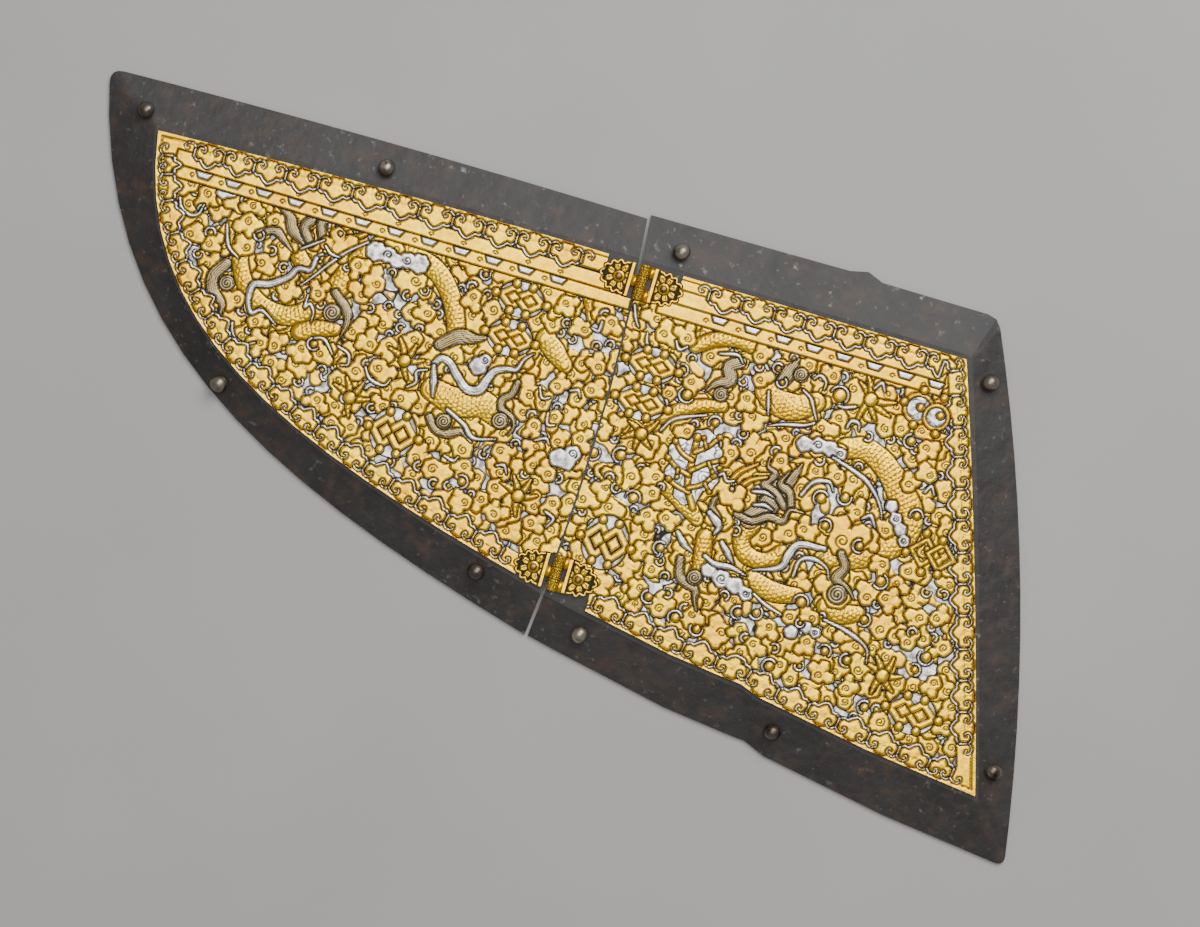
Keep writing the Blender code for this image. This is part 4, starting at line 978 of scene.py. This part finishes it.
def leaf_field(node, side, middle):
    """A leaf's field: rim, bar, petals and coils, in heights above its sunk ground."""
    field = new_field(foot_outline(node), LEAF_CELL)
    # The sunk ground starts fully dark: dirt and painted shade.
    field["grime"][:] = 1.0
    field["silver"][:] = 0.0
    x, facing_tip = side * RIVET_X, 0.0 if side > 0 else math.pi
    for number in range(PETAL_COUNT):
        angle = facing_tip + 2 * math.pi * (number + 0.5) / PETAL_COUNT
        spots = [(x + reach * math.cos(angle), middle + reach * math.sin(angle), radius)
                 for reach, radius in ((2.9, 0.75), (3.9, 1.15), (4.8, 0.95))]
        view = part_of(field, [spot[:2] for spot in spots], 2)
        lay(view, lobed(view, spots)[0], LEAF_TOP_HEIGHT, edge=0.8, lip=0.25)
        stroke(field, [spots[0][:2], spots[1][:2]], (0.3, 0.25, 0.2), 0.25, silver=0.0, cut=0.5)
    lay(field, np.abs(field["depth"] - 0.45) - 0.45, LEAF_TOP_HEIGHT, edge=0.4, lip=0.12)
    ends = ((4.0, -7), (5.6, -7), (5.6, 7), (4.0, 7))
    plate(field, [(side * u, middle + v) for u, v in ends], 0.0, LEAF_TOP_HEIGHT, 0.4, 0.1)
    disc(field, x, middle, 2.2, top=LEAF_TOP_HEIGHT)
    for hand in (-1, 1):
        coil(field, side * (RIVET_X + 5.6), middle + hand * 1.7, 0.9, hand)
    field["cavity"] = cavity(field["height"], 2)
    return field


# %% [markdown]
# ## Knuckles
# A knuckle is a ring round the pin, carried by a flat tongue from its leaf. Its outside is a surface of
# two numbers, the angle round the pin and the way along it, and a square key pattern is sunk into it as a
# small change of the radius.

# %% The knuckles
AXIS_Z = HINGE[2] / MM
KNUCKLE_RADIUS = 2.1
BORE_RADIUS = 1.25
KNUCKLE_LENGTH = 4.53
KNUCKLE_STEP = 4.83
KEY_PITCH = 1.5
KEY_DEPTH = 0.22


def key_pattern(around, along):
    """1 in the sunk lines of a key pattern and 0 on its bars: nested squares, every other row shifted."""
    row = np.floor(along / KEY_PITCH)
    u = np.abs((around / KEY_PITCH + 0.5 * (row % 2)) % 1 - 0.5)
    v = np.abs(along / KEY_PITCH % 1 - 0.5)
    square = np.maximum(u, v)
    return ((square > 0.42) | ((square > 0.14) & (square < 0.27))).astype(float)


def knuckle(name, middle, steps=96, rows=44):
    """A closed ring: outside from one end to the other, then back along the bore."""
    outer = np.linspace(-KNUCKLE_LENGTH / 2, KNUCKLE_LENGTH / 2, rows)
    along = np.concatenate([outer, outer[[-1, 0]]])
    radius = np.concatenate([np.full(rows, KNUCKLE_RADIUS), [BORE_RADIUS, BORE_RADIUS]])
    radius[[0, rows - 1]] -= 0.12
    angle = np.arange(steps) * 2 * math.pi / steps
    ways, turns = np.meshgrid(along, angle)
    sunk = key_pattern(turns * KNUCKLE_RADIUS, ways + 20 * KEY_PITCH) * (np.arange(len(along)) < rows - 1)
    sunk[:, 0] = 0
    reach = radius - KEY_DEPTH * sunk
    points = np.stack([reach * np.cos(turns) + HINGE[0] / MM, ways + middle + HINGE[1] / MM,
                       reach * np.sin(turns) + AXIS_Z], -1)
    index = np.arange(points.size // 3).reshape(points.shape[:2])
    after, beyond = np.roll(index, -1, 0), np.roll(index, -1, 1)
    faces = np.stack([index, beyond, np.roll(beyond, -1, 0), after], -1).reshape(-1, 4)
    piece = from_arrays(name, points.reshape(-1, 3) * MM, faces)
    # The key pattern's sunk lines are painted dark: dirt and painted shade.
    layer = piece.data.attributes.new("grime", "FLOAT", "POINT")
    layer.data.foreach_set("value", sunk.ravel().astype(np.float32))
    return piece


def tongue(name, side, middle):
    """The flat tongue from a knuckle to its leaf: a plain box."""
    ways = ((1.5, 4.4), (-KNUCKLE_LENGTH / 2, KNUCKLE_LENGTH / 2), (5.1, 6.3))
    corners = np.stack(np.meshgrid(*ways, indexing="ij"), -1).reshape(-1, 3)
    points = corners * [side, 1, 1] + [HINGE[0] / MM, middle + HINGE[1] / MM, 0]
    faces = np.array([(0, 1, 3, 2), (4, 6, 7, 5), (0, 4, 5, 1), (2, 3, 7, 6), (0, 2, 6, 4), (1, 5, 7, 3)])
    return from_arrays(name, points * MM, faces if side > 0 else faces[:, ::-1])


def dress_hinge(level, middle, prefix, side):
    """Replaces one leaf by its chiselled leaf, its knuckles and their tongues."""
    node = f"{level}_{prefix}_leaf"
    field = leaf_field(node, side, middle)
    depth = field["depth"]
    keep = settle((depth[:-1, :-1] + depth[1:, :-1] + depth[:-1, 1:] + depth[1:, 1:]) > 0)
    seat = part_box(node)[0].z / MM
    pieces = [skin(f"{level}_{prefix}_flower", field, keep, seat, seat + 1.0)]
    places = (middle,) if side < 0 else (middle - KNUCKLE_STEP, middle + KNUCKLE_STEP)
    for number, place in enumerate(places, 1):
        pieces.append(knuckle(f"{level}_{prefix}_knuckle_{number}", place))
        pieces.append(tongue(f"{level}_{prefix}_tongue_{number}", side, place))
    for piece in pieces:
        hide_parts(node)
        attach(piece, prefix)
    return pieces


LEAVES = []
for level, middle in (("upper", HINGE_Y), ("lower", -HINGE_Y)):
    for prefix, side in (("fore", -1), ("rear", 1)):
        LEAVES += dress_hinge(level, middle, prefix, side)
print("hinge pieces:", len(LEAVES))

# %% [markdown]
# ## Studs and rivets
# The studs are forged balls on short necks, and the leaf rivets are low domes. Both are turned shapes:
# one profile carried round an axis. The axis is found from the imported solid: of the three main
# directions in which its corners spread, it is the one nearest to upright.

# %% Turned heads
STUD_SHAPE = (
    (0, 1.0), (0.30, 0.985), (0.62, 0.93), (0.88, 0.83), (1.0, 0.70), (0.95, 0.585), (0.80, 0.51),
    (0.74, 0.485), (0.86, 0.47), (0.90, 0.44), (0.84, 0.405), (0.35, 0.40), (0.35, 0.06), (0.50, 0.06),
    (0.50, 0.0), (0, 0.0),
)
RIVET_SHAPE = (
    (0, 1.0), (0.5, 0.985), (0.8, 0.94), (1.0, 0.86), (1.0, 0.80), (0.92, 0.78), (0.45, 0.78),
    (0.45, 0.09), (0.8, 0.09), (0.8, 0.0), (0, 0.0),
)
TURN_STEPS = 40


def axis_of(points):
    """(centre, unit axis) of a turned solid: the eigenvector of its spread that is nearest to upright."""
    points = np.unique(np.round(points, 3), axis=0)
    centre = points.mean(0)
    _, ways = np.linalg.eigh(np.cov((points - centre).T))
    axis = ways[:, np.abs(ways[2]).argmax()]
    return centre, axis * np.sign(axis[2])


def turned(name, node, shape, uneven):
    """The profile round the node's own axis. shape's rows are shares of its radius and of its height, and
    uneven is how far it strays from round."""
    points = corners_of(node).reshape(-1, 3)
    centre, axis = axis_of(points)
    rise = (points - centre) @ axis
    away = np.linalg.norm(points - centre - np.outer(rise, axis), axis=1).max()
    out = np.cross(axis, [0.0, 1.0, 0.0])
    out /= np.linalg.norm(out)
    side = np.cross(axis, out)
    radius, height = np.array(shape).T
    angle = np.arange(TURN_STEPS) * 2 * math.pi / TURN_STEPS
    wobble = 1 + uneven * np.cos(2 * angle + centre[0]) + uneven * 0.6 * np.cos(3 * angle + centre[1])
    reach = np.outer(wobble / wobble.max(), radius * away)[..., None]
    rise = rise.min() + height * (rise.max() - rise.min())
    ring_ways = np.cos(angle)[:, None] * out + np.sin(angle)[:, None] * side
    grid = centre + rise[None, :, None] * axis + reach * ring_ways[:, None, :]
    grid += [HINGE[0] / MM, HINGE[1] / MM, 0]
    index = np.arange(grid.size // 3).reshape(grid.shape[:2])
    after = np.roll(index, -1, 0)
    faces = np.stack([index[:, 1:], after[:, 1:], after[:, :-1], index[:, :-1]], -1).reshape(-1, 4)
    piece = from_arrays(name, grid.reshape(-1, 3) * MM, faces)
    bm = bmesh.new()
    bm.from_mesh(piece.data)
    bmesh.ops.remove_doubles(bm, verts=bm.verts, dist=1e-6)
    bmesh.ops.recalc_face_normals(bm, faces=bm.faces)
    bm.to_mesh(piece.data)
    bm.free()
    piece.data.shade_smooth()
    piece.data.set_sharp_from_angle(angle=math.radians(50))
    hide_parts(node)
    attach(piece, "fore" if "fore" in node else "rear")
    return piece


STUDS, RIVETS = [], []
for node in sorted(frame["nodes"]):
    if "stud" in node:
        STUDS.append(turned(f"{node}_forged", node, STUD_SHAPE, 0.03))
    if "rivet" in node:
        RIVETS.append(turned(f"{node}_domed", node, RIVET_SHAPE, 0.02))
print("studs:", len(STUDS), "rivets:", len(RIVETS))

# %% [markdown]
# ## Colours and nodes
# The colours are read as hex values, as a screen shows them. A shader works in linear light, so
# one function turns them. One more function adds a node, with its settings and its links, and builds
# every material below.

# %% Two helpers for all materials


def linear(code):
    """Linear RGBA from a hex colour, by the sRGB curve."""
    channels = [int(code[i : i + 2], 16) / 255 for i in (1, 3, 5)]
    return (*[((c + 0.055) / 1.055) ** 2.4 if c > 0.04045 else c / 12.92 for c in channels], 1.0)


def add(tree, kind, settings=(), **links):
    """Adds a node. Settings are (property or socket, value) pairs. A link is named by its socket, as text
    or as i and its number."""
    node = tree.nodes.new("ShaderNode" + kind)
    for name, value in settings:
        if isinstance(name, str) and hasattr(node, name):
            setattr(node, name, value)
        else:
            node.inputs[name].default_value = value
    for name, source in links.items():
        socket = int(name[1:]) if name[1:].isdigit() else name.replace("_", " ")
        tree.links.new(source, node.inputs[socket])
    return node


def new_finish(name):
    """(material, tree, shader, object coordinates) of a new material with a plain Principled shader."""
    material = bpy.data.materials.new(name)
    material.use_nodes = True
    tree = material.node_tree
    place = add(tree, "TexCoord").outputs["Object"]
    return material, tree, tree.nodes["Principled BSDF"], place


def noise(tree, place, grain, detail=4.0, low=0.35, high=0.65):
    """A noise with blobs about grain mm across, spread over 0 to 1 between its low and high values."""
    settings = [("Scale", 0.5 / (grain * MM)), ("Detail", detail)]
    value = add(tree, "TexNoise", settings, Vector=place).outputs[0]
    settings = [("From Min", low), ("From Max", high)]
    return add(tree, "MapRange", settings, Value=value).outputs[0]


def mix(tree, share, first, second):
    """A colour between two, by a share. A colour is hex text or a socket."""
    settings = [("data_type", "RGBA"), ("blend_type", "MIX")]
    links = {"i0": share}
    for number, colour in ((6, first), (7, second)):
        if isinstance(colour, str):
            settings.append((number, linear(colour)))
        else:
            links[f"i{number}"] = colour
    return add(tree, "Mix", settings, **links).outputs[2]


def maths(tree, operation, first, second=0.0, clamp=True):
    """One sum of two numbers or sockets."""
    settings = [("operation", operation), ("use_clamp", clamp)]
    links = {}
    for number, value in ((0, first), (1, second)):
        if isinstance(value, (int, float)):
            settings.append((number, value))
        else:
            links[f"i{number}"] = value
    return add(tree, "Math", settings, **links).outputs[0]


def bump(tree, height, depth, shader):
    """Gives the shader a bump of depth mm from a height socket."""
    normal = add(tree, "Bump", [("Distance", depth * MM), ("Strength", 1.0)], Height=height).outputs[0]
    tree.links.new(normal, shader.inputs["Normal"])


# %% [markdown]
# ## Gilt and silvered relief
# The high forms carry mercury gilding: thick, warm and rubbed pale on the edges. Silver leaf on the
# ground and on the fine lines has tarnished to grey, and old wax and dirt fill the cuts. The dark painted
# into the cuts, lines and hollows is partly that dirt and partly painted shade. The field's own
# attributes say which metal a point has, so the change of metal follows the forms exactly. The hinge
# leaves, knuckles and tongues have the same finish.

# %% The relief's finish


def gilt_relief():
    """Gold or silver by the field's share of silver, duller on the mane, with dark cuts of dirt and painted
    shade, painted shade in hollows and pale worn edges.
    """
    material, tree, shader, place = new_finish("fire-gilt and silvered iron")
    silver, grime, hollow, dull = (
        add(tree, "Attribute", [("attribute_name", name)]).outputs["Fac"]
        for name in ("silver", "grime", "cavity", "dull")
    )
    rubbed = add(tree, "MapRange", [("From Min", 0.0), ("From Max", -0.30)], Value=hollow).outputs[0]
    # shaded is painted shade: points lower than their neighbours get darker.
    shaded = add(tree, "MapRange", [("From Min", 0.08), ("From Max", 0.50)], Value=hollow).outputs[0]
    gold = mix(tree, noise(tree, place, 9.0), "#E8AE10", "#F9CC24")
    gold = mix(tree, maths(tree, "MULTIPLY", noise(tree, place, 2.2, 6.0), 0.40), gold, "#C29018")
    gold = mix(tree, maths(tree, "MULTIPLY", rubbed, 0.35), gold, "#FFE060")
    tarnish = mix(tree, noise(tree, place, 1.6, 5.0, 0.40, 0.62), "#D2CFCA", "#6A655F")
    tarnish = mix(tree, maths(tree, "MULTIPLY", rubbed, 0.8), tarnish, "#F4F4F6")
    metal = mix(tree, silver, gold, tarnish)
    metal = mix(tree, maths(tree, "MULTIPLY", dull, 0.72), metal, "#6A6148")
    # The cut lines and the hollows darken the colour to near black and dull the metal: partly dirt and
    # partly painted shade.
    line = add(tree, "MapRange", [("From Min", 0.26), ("From Max", 0.62)], Value=grime).outputs[0]
    dirt_and_shade = maths(tree, "MAXIMUM", line, maths(tree, "MULTIPLY", shaded, 0.7))
    tree.links.new(mix(tree, dirt_and_shade, metal, "#0F0B08"), shader.inputs["Base Color"])
    bare = maths(tree, "SUBTRACT", 0.96, maths(tree, "MULTIPLY", dirt_and_shade, 0.7))
    tree.links.new(bare, shader.inputs["Metallic"])
    rough = maths(tree, "MULTIPLY_ADD", noise(tree, place, 1.1), 0.14)
    rough.node.inputs[2].default_value = 0.20
    rough = maths(tree, "ADD", rough, maths(tree, "MULTIPLY", dirt_and_shade, 0.4))
    tree.links.new(rough, shader.inputs["Roughness"])
    bump(tree, noise(tree, place, 0.9, 5.0), 0.035, shader)
    return material


GILT_RELIEF = gilt_relief()
for piece in RELIEFS + LEAVES:
    piece.data.materials.append(GILT_RELIEF)

# %% [markdown]
# ## Patinated iron
# The plates are forged iron with an old dark skin: nearly black, brown where rust has started, with fine
# pits and pale rubbed specks. All of it is noise, and no mark stands in a measured place.

# %% The iron's finish


def patinated_iron(name, dark, light, rust, shine, metal=0.0):
    """Forged iron: two dark tones in broad clouds, rust specks, pits and pale rubbed specks. metal is how
    much bare metal shows where nothing is rubbed."""
    material, tree, shader, place = new_finish(name)
    skin_tone = mix(tree, noise(tree, place, 14.0, 6.0), dark, light)
    skin_tone = mix(tree, noise(tree, place, 3.0, 8.0, 0.50, 0.72), skin_tone, rust)
    rubbed = noise(tree, place, 1.4, 8.0, 0.62, 0.80)
    tree.links.new(mix(tree, rubbed, skin_tone, "#6B6660"), shader.inputs["Base Color"])
    bare = maths(tree, "ADD", maths(tree, "MULTIPLY", rubbed, 0.7), metal)
    tree.links.new(bare, shader.inputs["Metallic"])
    tree.links.new(maths(tree, "SUBTRACT", shine, maths(tree, "MULTIPLY", rubbed, 0.2)),
                   shader.inputs["Roughness"])
    bump(tree, noise(tree, place, 4.0, 10.0), 0.12, shader)
    return material


IRON = patinated_iron("patinated forged iron", "#120F0E", "#231F1D", "#38261A", 0.50)
STUD_IRON = patinated_iron("worn forged iron", "#5E564E", "#A3988A", "#3A2A20", 0.32, 0.85)
PIN_IRON = patinated_iron("oiled iron pin", "#3A3634", "#5A5550", "#54402F", 0.45)


def dull_brass(name, base, deep, dark):
    """Brass without the field's attributes, for the leaves' rivets."""
    material, tree, shader, place = new_finish(name)
    tone = mix(tree, noise(tree, place, 2.0, 6.0), base, deep)
    stained = mix(tree, noise(tree, place, 1.0, 6.0, 0.58, 0.72), tone, dark)
    tree.links.new(stained, shader.inputs["Base Color"])
    shader.inputs["Metallic"].default_value = 0.95
    shader.inputs["Roughness"].default_value = 0.36
    bump(tree, noise(tree, place, 0.7, 6.0), 0.06, shader)
    return material


RIVET_BRASS = dull_brass("dull brass", "#A9824A", "#7A5A33", "#3E2C1C")
for name, node in frame["nodes"].items():
    for word, finish in (("plate", IRON), ("pin", PIN_IRON)):
        if word in name:
            node.data.materials.clear()
            node.data.materials.append(finish)
for pieces, finish in ((STUDS, STUD_IRON), (RIVETS, RIVET_BRASS)):
    for piece in pieces:
        piece.data.materials.append(finish)
print("finishes:", len(bpy.data.materials))

# %% [markdown]
# ## Floor, light and camera
# The picture is taken straight down with a long lens, and the plates lie turned a little on a pale sheet.
# A soft light from the top right models the relief and lays a soft shadow to the lower left. A larger soft
# box nearly overhead is what the flat gilding mirrors, and the even sky fills the rest.

# %% The studio
VIEW_TURN = math.radians(16.4)
VIEW_CENTRE = (0.01576, 0.00239)
VIEW_WIDTH = 0.480
CAMERA_HEIGHT = 2.0
SENSOR = 36.0
KEY_SIZE = 0.8
KEY_POWER = 13.0
KEY_PLACE = (0.45, 0.65, 1.0)
TOP_SIZE = 1.5
TOP_POWER = 28.0
TOP_PLACE = (0.05, 0.25, 2.6)
SKY = 0.38


def in_view(right, up):
    """A point on the floor that lies right and up of the picture's middle by that many metres."""
    c, s = math.cos(VIEW_TURN), math.sin(VIEW_TURN)
    return VIEW_CENTRE[0] + c * right - s * up, VIEW_CENTRE[1] + s * right + c * up


def pale_sheet():
    """Matt paper: a light grey with a faint noise."""
    material, tree, shader, place = new_finish("matt pale paper")
    tone = mix(tree, noise(tree, place, 60.0, 2.0), "#A6A5A3", "#AAA9A7")
    tree.links.new(tone, shader.inputs["Base Color"])
    shader.inputs["Roughness"].default_value = 0.9
    return material


SHEET = np.array([(-3, -3, 0), (3, -3, 0), (3, 3, 0), (-3, 3, 0)], float)
floor = from_arrays("floor", SHEET, np.array([[0, 1, 2, 3]]))
floor.data.materials.append(pale_sheet())


def soft_box(name, place, size, power):
    """A square soft box that faces the part's origin. place is right, up and above the floor."""
    lamp = bpy.data.lights.new(name, "AREA")
    lamp.shape = "SQUARE"
    lamp.size = size
    lamp.energy = power
    light = bpy.data.objects.new(name, lamp)
    light.location = (*in_view(*place[:2]), place[2])
    light.rotation_euler = (-light.location).to_track_quat("-Z", "Y").to_euler()
    bpy.context.scene.collection.objects.link(light)


soft_box("key_box", KEY_PLACE, KEY_SIZE, KEY_POWER)
soft_box("top_box", TOP_PLACE, TOP_SIZE, TOP_POWER)

world = bpy.data.worlds.new("even sky")
world.use_nodes = True
world.node_tree.nodes["Background"].inputs["Color"].default_value = linear("#F4F3F0")
world.node_tree.nodes["Background"].inputs["Strength"].default_value = SKY
bpy.context.scene.world = world

camera_data = bpy.data.cameras.new("camera")
camera_data.sensor_width = SENSOR
camera_data.lens = SENSOR * CAMERA_HEIGHT / VIEW_WIDTH
camera = bpy.data.objects.new("camera", camera_data)
camera.location = (*VIEW_CENTRE, CAMERA_HEIGHT)
camera.rotation_euler = (0, 0, VIEW_TURN)
bpy.context.scene.collection.objects.link(camera)
bpy.context.scene.camera = camera

# %% The end
import json
